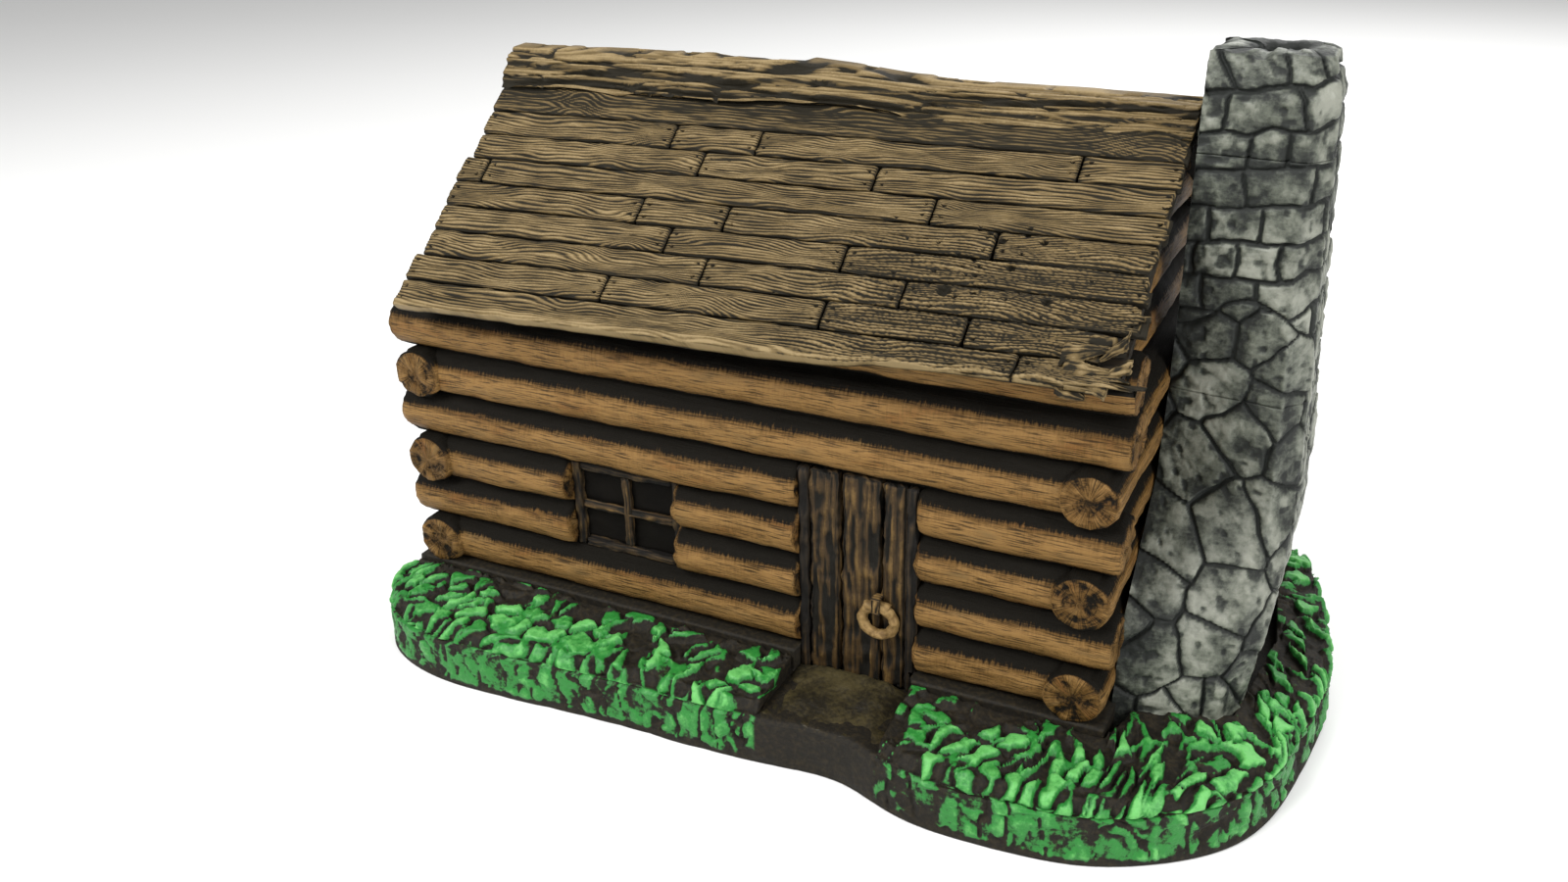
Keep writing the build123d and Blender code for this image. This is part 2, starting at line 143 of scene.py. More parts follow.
class Paint:
    """A material on one Principled shader."""

    def __init__(self, name, **constants):
        self.material = bpy.data.materials.new(name)
        self.material.use_nodes = True
        self.tree = self.material.node_tree
        self.shader = self.tree.nodes["Principled BSDF"]
        for socket, value in constants.items():
            self.shader.inputs[socket.replace("_", " ")].default_value = value

    def link(self, value, socket):
        if isinstance(value, Wire):
            self.tree.links.new(value.socket, socket)
        elif isinstance(value, tuple) and len(value) == 3 and socket.type == "RGBA":
            socket.default_value = (*value, 1.0)
        else:
            socket.default_value = value

    def node(self, kind, settings=None, sockets=None, output=0):
        made = self.tree.nodes.new(kind)
        for key, value in (settings or {}).items():
            setattr(made, key, value)
        for key, value in (sockets or {}).items():
            self.link(value, made.inputs[key])
        return Wire(self, made.outputs[output])

    def mix(self, factor, low, high):
        return self.node("ShaderNodeMix", {"data_type": "RGBA"}, {0: factor, 6: low, 7: high}, output=2)

    def attribute(self, name, output="Fac"):
        return self.node("ShaderNodeAttribute", {"attribute_name": name}, output=output)

    def place(self, scale):
        """Object coordinates in millimetres, times a scale along each axis."""
        point = self.node("ShaderNodeTexCoord", output="Object")
        return self.stretch(point, [1000 * s for s in scale])

    def stretch(self, vector, scale):
        settings = {"operation": "MULTIPLY"}
        return self.node("ShaderNodeVectorMath", settings, {0: vector, 1: tuple(scale)})

    def noise(self, vector, detail=3.0, roughness=0.55, distortion=0.0):
        sockets = {"Vector": vector, "Scale": 1.0, "Detail": detail, "Roughness": roughness,
                   "Distortion": distortion}
        return self.node("ShaderNodeTexNoise", None, sockets)

    def finish(self, colour, roughness, height=None, strength=0.5, distance=0.0003):
        self.link(colour, self.shader.inputs["Base Color"])
        self.link(roughness, self.shader.inputs["Roughness"])
        if height is not None:
            sockets = {"Strength": strength, "Distance": distance, "Height": height}
            bump = self.node("ShaderNodeBump", None, sockets)
            self.link(bump, self.shader.inputs["Normal"])
        print("paint", self.material.name, len(self.tree.nodes), "nodes")
        return self.material


floor_paint = Paint("floor_white")
floor.data.materials.append(floor_paint.finish((0.88, 0.88, 0.87), 0.75))

# %% [markdown]
# ## Carving helpers
# A carved casting has no straight edges, so each piece starts as a grid primitive that is wrapped into the
# piece's own form, closed, and then pushed in and out by layers of smooth noise. The noise is worked out on
# whole arrays of points, which keeps hundreds of thousands of vertices quick. It is seeded by its lattice
# numbers alone, so every run gives the same ornament.


# %% Noise on arrays
def lattice(ix, iy, iz, seed):
    """A fixed value from -1 to 1 for each whole-numbered point; the large factors only scramble it."""
    mixed = (ix * 374761393 + iy * 668265263 + iz * 1274126177 + seed * 974634777) & 0xFFFFFFFF
    mixed = ((mixed ^ (mixed >> 13)) * 1103515245) & 0xFFFFFFFF
    mixed = ((mixed ^ (mixed >> 16)) * 668265263) & 0xFFFFFFFF
    return ((mixed ^ (mixed >> 15)) & 0xFFFFFF) / float(0xFFFFFF) * 2 - 1


def noise(points, seed=0):
    """Smooth noise from -1 to 1 at an array of points, with a lattice one unit apart."""
    points = np.asarray(points, float)
    base = np.floor(points).astype(np.int64)
    part = points - base
    part = part * part * (3 - 2 * part)
    total = 0.0
    for corner in range(8):
        dx, dy, dz = corner & 1, corner >> 1 & 1, corner >> 2 & 1
        weight = (part[:, 0] if dx else 1 - part[:, 0]) * (part[:, 1] if dy else 1 - part[:, 1])
        weight = weight * (part[:, 2] if dz else 1 - part[:, 2])
        total = total + weight * lattice(base[:, 0] + dx, base[:, 1] + dy, base[:, 2] + dz, seed)
    return total


def layered(points, seed=0, layers=3, fade=0.5):
    """Noise with finer and weaker layers on top."""
    total, size, scale = 0.0, 1.0, 1.0
    for layer in range(layers):
        total = total + size * noise(np.asarray(points) * scale, seed + 17 * layer)
        size *= fade
        scale *= 2.03
    return total


def smooth(value, low, high):
    """0 at low, 1 at high and smooth between; low may be the larger of the two."""
    t = np.clip((value - low) / (high - low), 0, 1)
    return t * t * (3 - 2 * t)


def columns(*values):
    """Arrays and single numbers side by side, as rows of points."""
    size = max(np.size(v) for v in values)
    return np.stack([np.broadcast_to(np.asarray(v, float), size) for v in values], axis=1)


print("noise sample", noise(np.array([[0.3, 0.7, 0.1], [5.5, 2.2, 9.1]])).round(3))


# %% Pieces from wrapped grids
def start_grid(name, along, around):
    """A grid primitive; its two coordinates are returned running from 0 to 1."""
    bpy.ops.object.select_all(action="DESELECT")
    bpy.ops.mesh.primitive_grid_add(x_subdivisions=along, y_subdivisions=around, size=1)
    piece = bpy.context.object
    piece.name = name
    piece.data.name = name
    flat = read_points(piece)
    return piece, flat[:, 0] + 0.5, flat[:, 1] + 0.5


def read_points(piece):
    found = np.zeros(len(piece.data.vertices) * 3)
    piece.data.vertices.foreach_get("co", found)
    return found.reshape(-1, 3)


def write_points(piece, points):
    piece.data.vertices.foreach_set("co", np.asarray(points, float).ravel())
    piece.data.update()


def write_value(piece, name, values):
    attribute = piece.data.attributes.get(name) or piece.data.attributes.new(name, "FLOAT", "POINT")
    attribute.data.foreach_set("value", np.asarray(values, np.float32))


def write_vector(piece, name, values):
    attribute = piece.data.attributes.get(name) or piece.data.attributes.new(name, "FLOAT_VECTOR", "POINT")
    attribute.data.foreach_set("vector", np.asarray(values, np.float32).ravel())


def read_vector(piece, name):
    found = np.zeros(len(piece.data.vertices) * 3)
    piece.data.attributes[name].data.foreach_get("vector", found)
    return found.reshape(-1, 3)


def close_up(piece):
    """Merges the seam of a wrapped grid and turns its faces outwards."""
    bpy.ops.object.mode_set(mode="EDIT")
    bpy.ops.mesh.select_all(action="SELECT")
    bpy.ops.mesh.remove_doubles(threshold=0.000002)
    bpy.ops.mesh.normals_make_consistent(inside=False)
    bpy.ops.object.mode_set(mode="OBJECT")


def end_caps(u, cap):
    """How far along a piece each column lies, and how far out from its heart, which closes both ends."""
    return np.clip((u - cap) / (1 - 2 * cap), 0, 1), np.clip(np.minimum(u, 1 - u) / cap, 0, 1)


def wrapped(name, along, around, form):
    """A closed piece: form(u, v) gives points in millimetres and their grain coordinates."""
    piece, u, v = start_grid(name, along, around)
    points, grain = form(u, v)
    write_points(piece, points * MM)
    write_vector(piece, "grain", grain)
    close_up(piece)
    return piece


def normals_of(piece):
    found = np.zeros(len(piece.data.vertices) * 3)
    piece.data.vertices.foreach_get("normal", found)
    return found.reshape(-1, 3)


def carve(piece, depth):
    """Moves each point along its normal by depth(points in mm, grain), which also gives the paint height."""
    points = read_points(piece)
    push, relief = depth(points / MM, read_vector(piece, "grain"), normals_of(piece))
    write_points(piece, points + normals_of(piece) * (push * MM)[:, None])
    write_value(piece, "relief", relief)


def shape_piece(piece, points, grain, relief):
    """Gives a grid its points in millimetres, its grain coordinates and its paint height, and closes it."""
    write_points(piece, points * MM)
    write_vector(piece, "grain", grain)
    write_value(piece, "relief", relief)
    close_up(piece)
    return piece


finished = []


def finish_piece(piece, material, slot, *nodes):
    """Paints the piece, smooths its shading and lets it stand for its CAD nodes."""
    piece.data.materials.clear()
    piece.data.materials.append(material)
    piece.data.shade_smooth()
    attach(piece, "root")
    if nodes:
        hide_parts(*nodes)
    finished.append(piece.name)
    return piece


def join_all(pieces, name):
    bpy.ops.object.select_all(action="DESELECT")
    for piece in pieces:
        piece.select_set(True)
    bpy.context.view_layer.objects.active = pieces[0]
    if len(pieces) > 1:
        bpy.ops.object.join()
    pieces[0].name = name
    return pieces[0]


def box_mm(node):
    low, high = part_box(node)
    return np.array(low) / MM, np.array(high) / MM


def cad_points(node):
    return read_points(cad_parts[node]) / MM


# %% [markdown]
# ## Log paint
# The logs are black-brown in the seams and orange-tan on their bellies, with a ragged edge where the dry
# brush ran out. The ragged edge is noise stretched across the log, and it shifts the height at which tan
# starts. Sawn ends are tan with dark hearts.


# %% Log paint
def make_log_paint(name, dark, middle, light, tired, warm):
    paint = Paint(name, Specular_IOR_Level=0.14)
    grain = paint.attribute("grain", "Vector")
    relief = paint.attribute("relief")
    ticks = paint.noise(paint.stretch(grain, (2.4, 0.42, 5.0)), 4.0, 0.65)
    fibres = paint.noise(paint.stretch(grain, (0.22, 4.0, 3.0)), 4.0, 0.6, 0.4)
    patches = paint.noise(paint.stretch(grain, (0.09, 0.3, 1.0)), 2.0)
    shown = (relief + (ticks - 0.5) * 1.15 + (fibres - 0.5) * 0.45).step(0.30, 0.66)
    bright = (relief + (ticks - 0.5) * 0.7 + (patches - 0.5) * 0.9 + (fibres - 0.5) * 0.8).step(0.55, 1.15)
    colour = paint.mix(bright, paint.mix(shown, dark, middle), light)
    worn = ((patches - 0.5) * 3.0 + (fibres - 0.5) * 1.2).step(0.25, 0.9) * shown * 0.65
    colour = paint.mix(worn, colour, tired)
    rusty = ((0.5 - patches) * 3.0 + (ticks - 0.5) * 1.0).step(0.15, 0.9) * shown * 0.55
    colour = paint.mix(rusty, colour, warm)
    pores = (fibres - 0.5).step(0.02, -0.14) * 0.75
    colour = paint.mix(pores, colour, dark)
    height = fibres * 0.7 + ticks * 0.3
    return paint.finish(colour, 0.78 - shown * 0.24, height, 0.75, 0.00045)


log_paint = make_log_paint(
    "log_paint", dark=(0.0035, 0.0025, 0.0008), middle=(0.100, 0.051, 0.012), light=(0.225, 0.125, 0.040),
    tired=(0.105, 0.072, 0.030), warm=(0.180, 0.073, 0.018))

# %% [markdown]
# ## Logs
# Each log is a grid wrapped round a tube: its first and last columns run from the heart of the sawn end out
# to the rim, so the log is closed. A bent cylinder would need its ends filled and its beds cut flat, while
# the wrap gives both at once. It is a little flattened where it beds on its neighbours and slightly crooked.

# %% Logs
LOG_END_COLUMNS = 0.06        # share of the grid's columns on each sawn end
FLATTEN = 3.93                # half height of a bedded log, mm
LOG_RADIUS = 4.25             # a hair less than the CAD logs, because carving stands some spots proud
LOG_PITCH = 7.8               # height of one course, mm


def log_form(start, end, axis, centre, radius, seed, bulge=0.0):
    """A log from start to end along "x" or "y", with its centre line at the two other coordinates."""
    length = end - start

    def form(u, v):
        angle = 2 * math.pi * v
        share, rim = end_caps(u, LOG_END_COLUMNS)
        along = start + length * share
        edge = np.minimum(along - start, end - along)
        swell = 1 + 0.02 * np.sin(along * 0.09 + seed) + bulge * (1 - smooth(edge, 0, 6))
        r = radius * swell * rim * (1 - 0.05 * (1 - smooth(edge, 0, 0.9)) * (rim > 0.999))
        across, up = r * np.cos(angle), r * np.sin(angle)
        up = np.clip(up, -FLATTEN, FLATTEN)
        sway = 0.16 * np.sin(along * 0.07 + 2.1 * seed)
        if axis == "x":
            points = columns(along, centre[0] + across, centre[1] + up + sway * 0.4)
        else:
            points = columns(centre[0] + across, along, centre[1] + up)
        end_mask = (rim < 0.999).astype(float)
        grain = columns(along + end_mask * (rim * radius - 9), angle * radius + seed * 31, end_mask)
        return points, grain

    return form


def log_depth(centre_z, seed):
    """Long waves along the log; its belly takes the paint, its beds stay flat and its sawn ends are rough."""
    def depth(points, grain, normals):
        on_end = smooth(grain[:, 2], 0.3, 0.7)
        runs_along_x = abs(normals[:, 0]).mean() < 0.35
        shaped = points * ([0.11, 0.33, 0.33] if runs_along_x else [0.33, 0.11, 0.33])
        waves = layered(shaped, seed, 3)
        fine = layered(shaped * [3.1, 5.0, 5.0], seed + 5, 2)
        level = (points[:, 2] - centre_z) / FLATTEN
        belly = smooth(level, -1.02, -0.62) * (1 - smooth(level, 0.12, 0.80))
        hollow = 0.35 * smooth(abs(level), 0.82, 1.0)
        bedded = smooth(abs(normals[:, 2]), 0.86, 0.97)
        push = (0.20 * waves + 0.10 * fine - hollow) * (1 - on_end) * (1 - bedded)
        push = push + 0.16 * bedded * (1 - on_end)
        spoke = layered(points * 0.9, seed + 9, 3)
        push = push + on_end * 0.28 * spoke
        relief = belly + 0.12 * waves
        relief = relief * (1 - on_end) + on_end * (0.62 + 0.38 * spoke)
        return push, relief

    return depth


def make_log(node, start, end, axis, centre, seed, bulge=0.0):
    along = int(max(24, (end - start) * 1.25)) + 8
    form = log_form(start, end, axis, centre, LOG_RADIUS, seed, bulge)
    piece = wrapped("carved_" + node, along, 44, form)
    carve(piece, log_depth(centre[1], seed))
    return finish_piece(piece, log_paint, "log_brown", node)


def make_wall_log(node, axis, seed, bulge=0.0):
    """A log that stands for one CAD log, placed by that log's own box."""
    low, high = box_mm(node)
    middle = (low + high) / 2
    along, across = (0, 1) if axis == "x" else (1, 0)
    return make_log(node, low[along], high[along], axis, (middle[across], middle[2]), seed, bulge)


node_names = sorted(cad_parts)
front_names = [n for n in node_names if n.startswith("front_log") and n != "front_plate_log"]
for number, node in enumerate(front_names):
    make_wall_log(node, "x", number + 1)
for number, node in enumerate(n for n in node_names if n.startswith("rear_log_")):
    make_wall_log(node, "x", number + 40)
for side, first_seed in (("right", 60), ("left", 80)):
    for number, node in enumerate(n for n in node_names if n.startswith(side + "_wall_log")):
        make_wall_log(node, "y", number + first_seed, bulge=0.02)
print("logs", len(finished))

# %% [markdown]
# ## Gable logs
# The logs between the wall plate and the roof are cut to the roof's slope. Each one is modelled as long as
# the CAD log at that height, and what would pass through the deck is pressed down under it.

# %% Plate logs and gable logs
for number, node in enumerate(("front_plate_log", "rear_plate_log")):
    low, high = box_mm(node)
    centre = ((low[1] + high[1]) / 2, low[2] + FLATTEN)
    make_log(node, low[0] + 0.4, high[0] - 0.4, "x", centre, 30 + number)

GABLE_RADIUS = 4.1
DECK_DEPTH = 3.0              # level depth of boards and deck below the roof's top, as the logs meet it
EAVE_LIFT = 0.07              # the front slope is this much flatter at its right end
deck_points = cad_points("roof_deck_front")
ridge_z, ridge_line_y = deck_points[:, 2].max(), deck_points[:, 1].max()
front_fall = (ridge_z - deck_points[:, 2].min()) / (ridge_line_y - deck_points[:, 1].min())


def keep_under_roof(log):
    """Presses the parts of a log that would pass through the deck down to its underside."""
    points = read_points(log) / MM
    x_share = (points[:, 0] - deck_points[:, 0].min()) / np.ptp(deck_points[:, 0])
    fall = front_fall * (1 - EAVE_LIFT * x_share)
    ceiling = ridge_z - DECK_DEPTH - fall * abs(points[:, 1] - ridge_line_y)
    points[:, 2] = np.minimum(points[:, 2], ceiling)
    write_points(log, points * MM)


def islands(node):
    """The separate solids of a CAD node, as arrays of their points in millimetres."""
    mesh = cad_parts[node].data
    points = cad_points(node)
    parent = list(range(len(points)))
    seen = {}
    for index, key in enumerate(map(tuple, points.round(3))):
        parent[index] = seen.setdefault(key, index)

    def root(i):
        while parent[i] != i:
            parent[i] = parent[parent[i]]
            i = parent[i]
        return i

    for edge in mesh.edges:
        first, second = root(edge.vertices[0]), root(edge.vertices[1])
        parent[max(first, second)] = min(first, second)
    groups = {}
    for index in range(len(points)):
        groups.setdefault(root(index), []).append(index)
    return [points[members] for members in groups.values()]


for side in ("left", "right"):
    made = []
    node = side + "_gable_logs"
    whole_low, whole_high = box_mm(node)
    points = cad_points(node)
    course = 0
    while whole_low[2] + (course + 0.35) * LOG_PITCH < whole_high[2]:
        floor = whole_low[2] + course * LOG_PITCH
        near = points[(points[:, 2] > floor - 0.1) & (points[:, 2] < floor + LOG_PITCH + 0.1)]
        lower = near[near[:, 2] < floor + 0.5 * LOG_PITCH]
        height = min(LOG_PITCH, whole_high[2] - floor)
        start, end = lower[:, 1].min() + 0.5, lower[:, 1].max() - 0.5
        centre = ((whole_low[0] + whole_high[0]) / 2, floor + height / 2)
        form = log_form(start, end, "y", centre, GABLE_RADIUS, 90 + course)
        log = wrapped(node, 90, 40, form)
        carve(log, log_depth(centre[1], 90 + course))
        keep_under_roof(log)
        made.append(log)
        course += 1
    print(node, len(made), "logs")
    finish_piece(join_all(made, f"carved_{side}_gable"), log_paint, "log_brown", node)
print("gables and plates done")

# %% [markdown]
# ## Roof paint
# The roof is a duller khaki brown than the logs, wiped so that every grain line stays black. The carved grain
# is the main pattern, and finer fibres come from noise stretched along the board.


# %% Wood paints
def make_board_paint(name, dark, middle, light, along=0.35, across=6.5):
    """Dry-brushed wood; along and across say how fine its fibres are, per mm."""
    paint = Paint(name, Specular_IOR_Level=0.25)
    grain = paint.attribute("grain", "Vector")
    relief = paint.attribute("relief")
    fibres = paint.noise(paint.stretch(grain, (along, across, 1.0)), 4.0, 0.6, 0.3)
    patches = paint.noise(paint.stretch(grain, (0.07, 0.22, 1.0)), 3.0, 0.6)
    specks = paint.noise(paint.stretch(grain, (2.4, 2.4, 1.0)), 2.0)
    shown = (relief + (fibres - 0.5) * 0.9 + (patches - 0.5) * 0.45).step(0.26, 0.66)
    bright = (relief + (fibres - 0.5) * 0.8 + (patches - 0.5) * 0.9 + (specks - 0.5) * 0.5).step(0.6, 1.15)
    colour = paint.mix(shown, dark, middle)
    colour = paint.mix(bright, colour, light)
    return paint.finish(colour, 0.75 - shown * 0.15, fibres + specks * 0.3, 0.6, 0.0003)


roof_paint = make_board_paint("roof_paint", (0.010, 0.0075, 0.0025), (0.125, 0.084, 0.031),
                              (0.255, 0.185, 0.088))
door_paint = make_board_paint("door_paint", (0.004, 0.003, 0.001), (0.038, 0.021, 0.006),
                              (0.120, 0.070, 0.020), 0.3, 5.0)
ring_paint = make_board_paint("ring_paint", (0.006, 0.004, 0.0015), (0.120, 0.070, 0.022),
                              (0.25, 0.16, 0.06), 0.8, 2.0)

deck_paint = Paint("deck_paint", Specular_IOR_Level=0.3)
deck_noise = deck_paint.noise(deck_paint.place((0.3, 1.5, 1.5)), 4.0)
deck_colour = deck_paint.mix(deck_noise.step(0.35, 0.75), (0.004, 0.003, 0.001), (0.022, 0.014, 0.006))
deck_paint.finish(deck_colour, 0.85, deck_noise, 0.5)

# %% [markdown]
# ## Roof boards
# Nine rows of boards, each with its own grain. A board is a thin closed wrap whose top is finely divided, so
# that the grain lines, the eyes round old knots, the nail holes and the small air-bubble pits are all carved.

# %% Roof surface
BOARD = 1.5                   # thickness of a board above the deck, mm


def deck_corner(node, direction):
    points = cad_points(node)
    return points[np.argmax(points @ np.array(direction, float))]


def slope_surface(node, front):
    """A function from shares along and down the slope, and a lift, to points on the board surface."""
    out = -100 if front else 100
    ridge = [deck_corner(node, (side, -out, 1)) for side in (-1, 1)]
    eave = [deck_corner(node, (side, out, 1)) for side in (-1, 1)]
    normal = np.cross(ridge[1] - ridge[0], (eave[0] + eave[1] - ridge[0] - ridge[1]) / 2)
    normal = normal / np.linalg.norm(normal) * (1 if normal[2] > 0 else -1)

    def surface(along, down, lift):
        along, down = np.asarray(along)[:, None], np.asarray(down)[:, None]
        top = ridge[0] * (1 - along) + ridge[1] * along
        foot = eave[0] * (1 - along) + eave[1] * along
        return top * (1 - down) + foot * down + normal * (np.asarray(lift) + BOARD)[:, None]

    length = ridge[1][0] - ridge[0][0]
    width = np.linalg.norm((ridge[0] - eave[0])[1:])
    return surface, ridge[0], length, width, abs(ridge[0][1] - eave[0][1])


front_slope = slope_surface("roof_deck_front", True)
rear_slope = slope_surface("roof_deck_rear", False)
OPEN_SLOPE = 0.134            # share of the slope that the ridge cap hides
DECK = 1.9                    # thickness of the deck under the boards, mm


def make_deck(name, slope, foot_share, node):
    """The rough sheet under the boards; it stops short of the eave, so the boards' lip casts a gap."""
    surface, origin, length, width, _ = slope

    def form(u, v):
        share, shrink = end_caps(u, 0.02)
        # the wrap runs over the top, round the foot, back underneath and round the ridge edge
        stretches = [v < 0.44, v < 0.5, v < 0.94]
        down = np.select(stretches, [v / 0.44, 1 + 0 * v, 1 - (v - 0.5) / 0.44], 0 * v)
        deep = np.select(stretches, [0 * v, (v - 0.44) / 0.06, 1 + 0 * v], 1 - (v - 0.94) / 0.06)
        along = 0.006 + 0.988 * share
        foot = foot_share + 0.006 * noise(columns(share * 30, 0, 0), 16)
        rough = 0.1 * noise(columns(share * 60, down * 30, 0), 17)
        lift = -BOARD - 0.05 - (0.1 + deep * (DECK - 0.2)) + rough
        points = surface(along, down * foot, lift)
        middle = surface(along, 0 * down + 0.5, 0 * down - BOARD - DECK / 2)
        return middle + (points - middle) * shrink[:, None], columns(share * length, down * width, deep)

    deck = wrapped(name, 150, 80, form)
    return finish_piece(deck, deck_paint.material, "roof_deck", node)


make_deck("carved_deck_front", front_slope, 0.955, "roof_deck_front")
make_deck("carved_deck_rear", rear_slope, 0.985, "roof_deck_rear")
# air-bubble pits: share along the roof, share down the open slope, radius in mm
pits = [(0.768, 0.694, 0.95), (0.817, 0.48, 0.55), (0.867, 0.476, 0.5), (0.838, 0.583, 0.6),
        (0.891, 0.698, 0.6), (0.80, 0.455, 0.35), (0.845, 0.45, 0.4), (0.79, 0.56, 0.35)]
scatter = np.random.default_rng(7)
for _ in range(34):
    spot = scatter.normal((0.80, 0.56), (0.065, 0.10))
    pits.append((spot[0], spot[1], scatter.uniform(0.16, 0.34)))
for _ in range(14):
    pits.append((scatter.uniform(0.1, 0.98), scatter.uniform(0.1, 0.98), scatter.uniform(0.10, 0.2)))
pits = [(x, OPEN_SLOPE + (1 - OPEN_SLOPE) * y, r) for x, y, r in pits]
print("roof slope", front_slope[2:], len(pits), "pits")


# %% Board maker
def paving(s, h, wide, tall, seed):
    """Distance in mm to the joint between the two nearest stone hearts, and the nearest one's number."""
    x, y = s / wide, h / tall
    bx, by = np.floor(x).astype(np.int64), np.floor(y).astype(np.int64)
    first = np.full(len(x), 1e9)
    second = np.full(len(x), 1e9)
    p1, p2 = np.zeros((len(x), 2)), np.zeros((len(x), 2))
    number = np.zeros(len(x))
    for dx in (-1, 0, 1):
        for dy in (-1, 0, 1):
            cx, cy = bx + dx, by + dy
            px = (cx + 0.5 + 0.46 * lattice(cx, cy, cx * 0, seed)) * wide
            py = (cy + 0.5 + 0.46 * lattice(cx, cy, cx * 0 + 1, seed)) * tall
            here = np.stack([px, py], axis=1)
            d = np.hypot(s - px, h - py)
            nearest = d < first
            runner = ~nearest & (d < second)
            second = np.where(nearest, first, np.where(runner, d, second))
            p2 = np.where(nearest[:, None], p1, np.where(runner[:, None], here, p2))
            p1 = np.where(nearest[:, None], here, p1)
            number = np.where(nearest, lattice(cx, cy, cx * 0 + 2, seed), number)
            first = np.where(nearest, d, first)
    gap = np.maximum(np.hypot(*(p2 - p1).T), 0.01)
    return (second ** 2 - first ** 2) / (2 * gap), number


def grain_lines(x, w, seed, period=0.56):
    """Height of carved wood grain: wavy lines that part round a few eyes."""
    eyes = np.random.default_rng(seed)
    field = w + 0.55 * layered(columns(x * 0.045, w * 0.35, seed), seed, 3)
    for _ in range(7):
        cx, cw = eyes.uniform(0, 115), eyes.uniform(0, 4.8)
        reach = np.exp(-((x - cx) / eyes.uniform(3, 8)) ** 2)
        field = field + 0.9 * reach * np.tanh((w - cw) * 1.6)
    return np.sin(2 * math.pi * field / period + 2 * noise(columns(x * 0.2, w, seed), seed))


def pit_depth(x, w, slope, holes):
    length, width = slope[2], slope[3]
    depth = np.zeros_like(x)
    for px, pw, radius in holes:
        distance = np.hypot(x - px * length, w - pw * width)
        depth = np.maximum(depth, 1 - smooth(distance, radius * 0.55, radius * 1.15))
    return depth


def board_spans(node):
    """Where each board of a CAD row starts and ends, along x and along y."""
    return sorted((p[:, 0].min(), p[:, 0].max(), p[:, 1].min(), p[:, 1].max()) for p in islands(node))


def board_form(slope, x0, x1, down0, down1, seed, crackled, holes, last=False, ragged=0.0):
    """One board: crackled boards carry the patch of cracks, the last row has the rolled and lifted lip."""
    surface, origin, length, width, _ = slope
    TOP, SIDE = 0.66, 0.09          # shares of the wrap on the board's top and on each long edge

    def form(u, v):
        share, shrink = end_caps(u, 0.02)
        stretches = [v < TOP, v < TOP + SIDE]
        back = np.clip(1 - (v - TOP - SIDE) / (1 - TOP - 2 * SIDE), 0, 1)
        down = np.select(stretches, [np.clip(v / TOP, 0, 1), 1 + 0 * v], back)
        deep = np.select(stretches, [0 * v, (v - TOP) / SIDE], np.where(v < 1 - SIDE, 1, (1 - v) / SIDE))
        w = (down0 + (down1 - down0) * down) * width
        edge_wave = 0.10 * noise(columns(share * (x1 - x0) * 0.3 + seed, down * 0, 0), seed + 3)
        x = x0 + (x1 - x0) * share - origin[0]
        splits = 0.65 * noise(columns(w * 0.9, 0, seed), 5) + 0.4 * noise(columns(w * 3.1, 0, 1), 6)
        reach = ragged * (0.35 + splits)
        x = x - np.where(share > 0.5, smooth(share, 1 - 12 / max(x1 - x0, 13), 1) * reach, 0)
        share_x = x / length
        lip = curl = 0.0
        if last:
            lip = (0.9 + 0.35 * noise(columns(x * 0.08, 0, 0), 14)) * smooth(share_x, 0.72, 0.64)
            wander = 0.5 + 0.5 * noise(columns(x * 0.11, 0, 3), 15)
            curl = (0.7 + 1.0 * wander) * smooth(share_x, 0.67, 0.72) * smooth(down, 0.35, 1.0)
        thick = BOARD - 0.05 + lip * smooth(down, 0.72, 0.98)
        lift = -deep * thick
        from_edge = np.minimum(down, 1 - down) * (down1 - down0) * width
        from_end = np.minimum(x - (x0 - origin[0]), (x1 - origin[0]) - x)
        wear = (1 - smooth(from_edge, 0.0, 0.42)) * 0.30 + (1 - smooth(from_end, 0.0, 0.5)) * 0.22
        wave = grain_lines(x, w - down0 * width, seed)
        rough = layered(columns(x * 0.25, w * 1.3, seed), seed + 2, 3)
        crackle = smooth(share_x, 0.52, 0.72) * smooth(w / width, 0.42, 0.72) * crackled
        cells, _ = paving(x + 0.3 * rough, w, 1.15, 0.62, 12)
        cross = -smooth(cells, 0.16, 0.02) * crackle
        shade = 1 - smooth(w / width, 0.14, 0.27)
        hole = pit_depth(x, w, slope, holes) * (deep < 0.01)
        on_top = 1 - smooth(deep, 0, 0.5)
        grooves = 0.085 * wave + 0.13 * rough - wear - 0.9 * hole + 0.13 * cross
        lift = lift + on_top * (grooves + curl * (1 + 0.4 * rough))
        if last:
            lift = lift + on_top * lip * 0.35 * smooth(down, 0.6, 0.95)
            lift = lift + (1 - on_top) * curl * 0.8
        down_place = (w + edge_wave * np.where(down > 0.5, 1, -1)) / width
        if last:
            down_place = down_place + 0.3 / width * lip * smooth(down, 0.8, 1.0) * (1 - deep)
        points = surface(share_x, down_place, lift)
        middle = surface(share_x, np.full_like(x, (down0 + down1) / 2), np.full_like(x, -BOARD / 2))
        points = middle + (points - middle) * shrink[:, None]
        relief = 0.56 + 0.34 * wave + 0.18 * rough - 1.2 * wear - 1.3 * hole + 0.40 * cross - 0.30 * shade
        relief = on_top * relief + (1 - on_top) * 0.15
        if last:
            rolled = 1.05 - 0.95 * smooth(deep, 0.55, 1.0) + 0.2 * rough
            relief = np.where(deep > 0, rolled, relief + 0.45 * smooth(down, 0.72, 0.95))
            relief = np.where((down < 0.5) & (deep > 0.3), 0.0, relief)
        return points, columns(x, w, seed), np.clip(relief * (0.3 + 0.7 * (shrink > 0.5)), 0, 1.4)

    return form


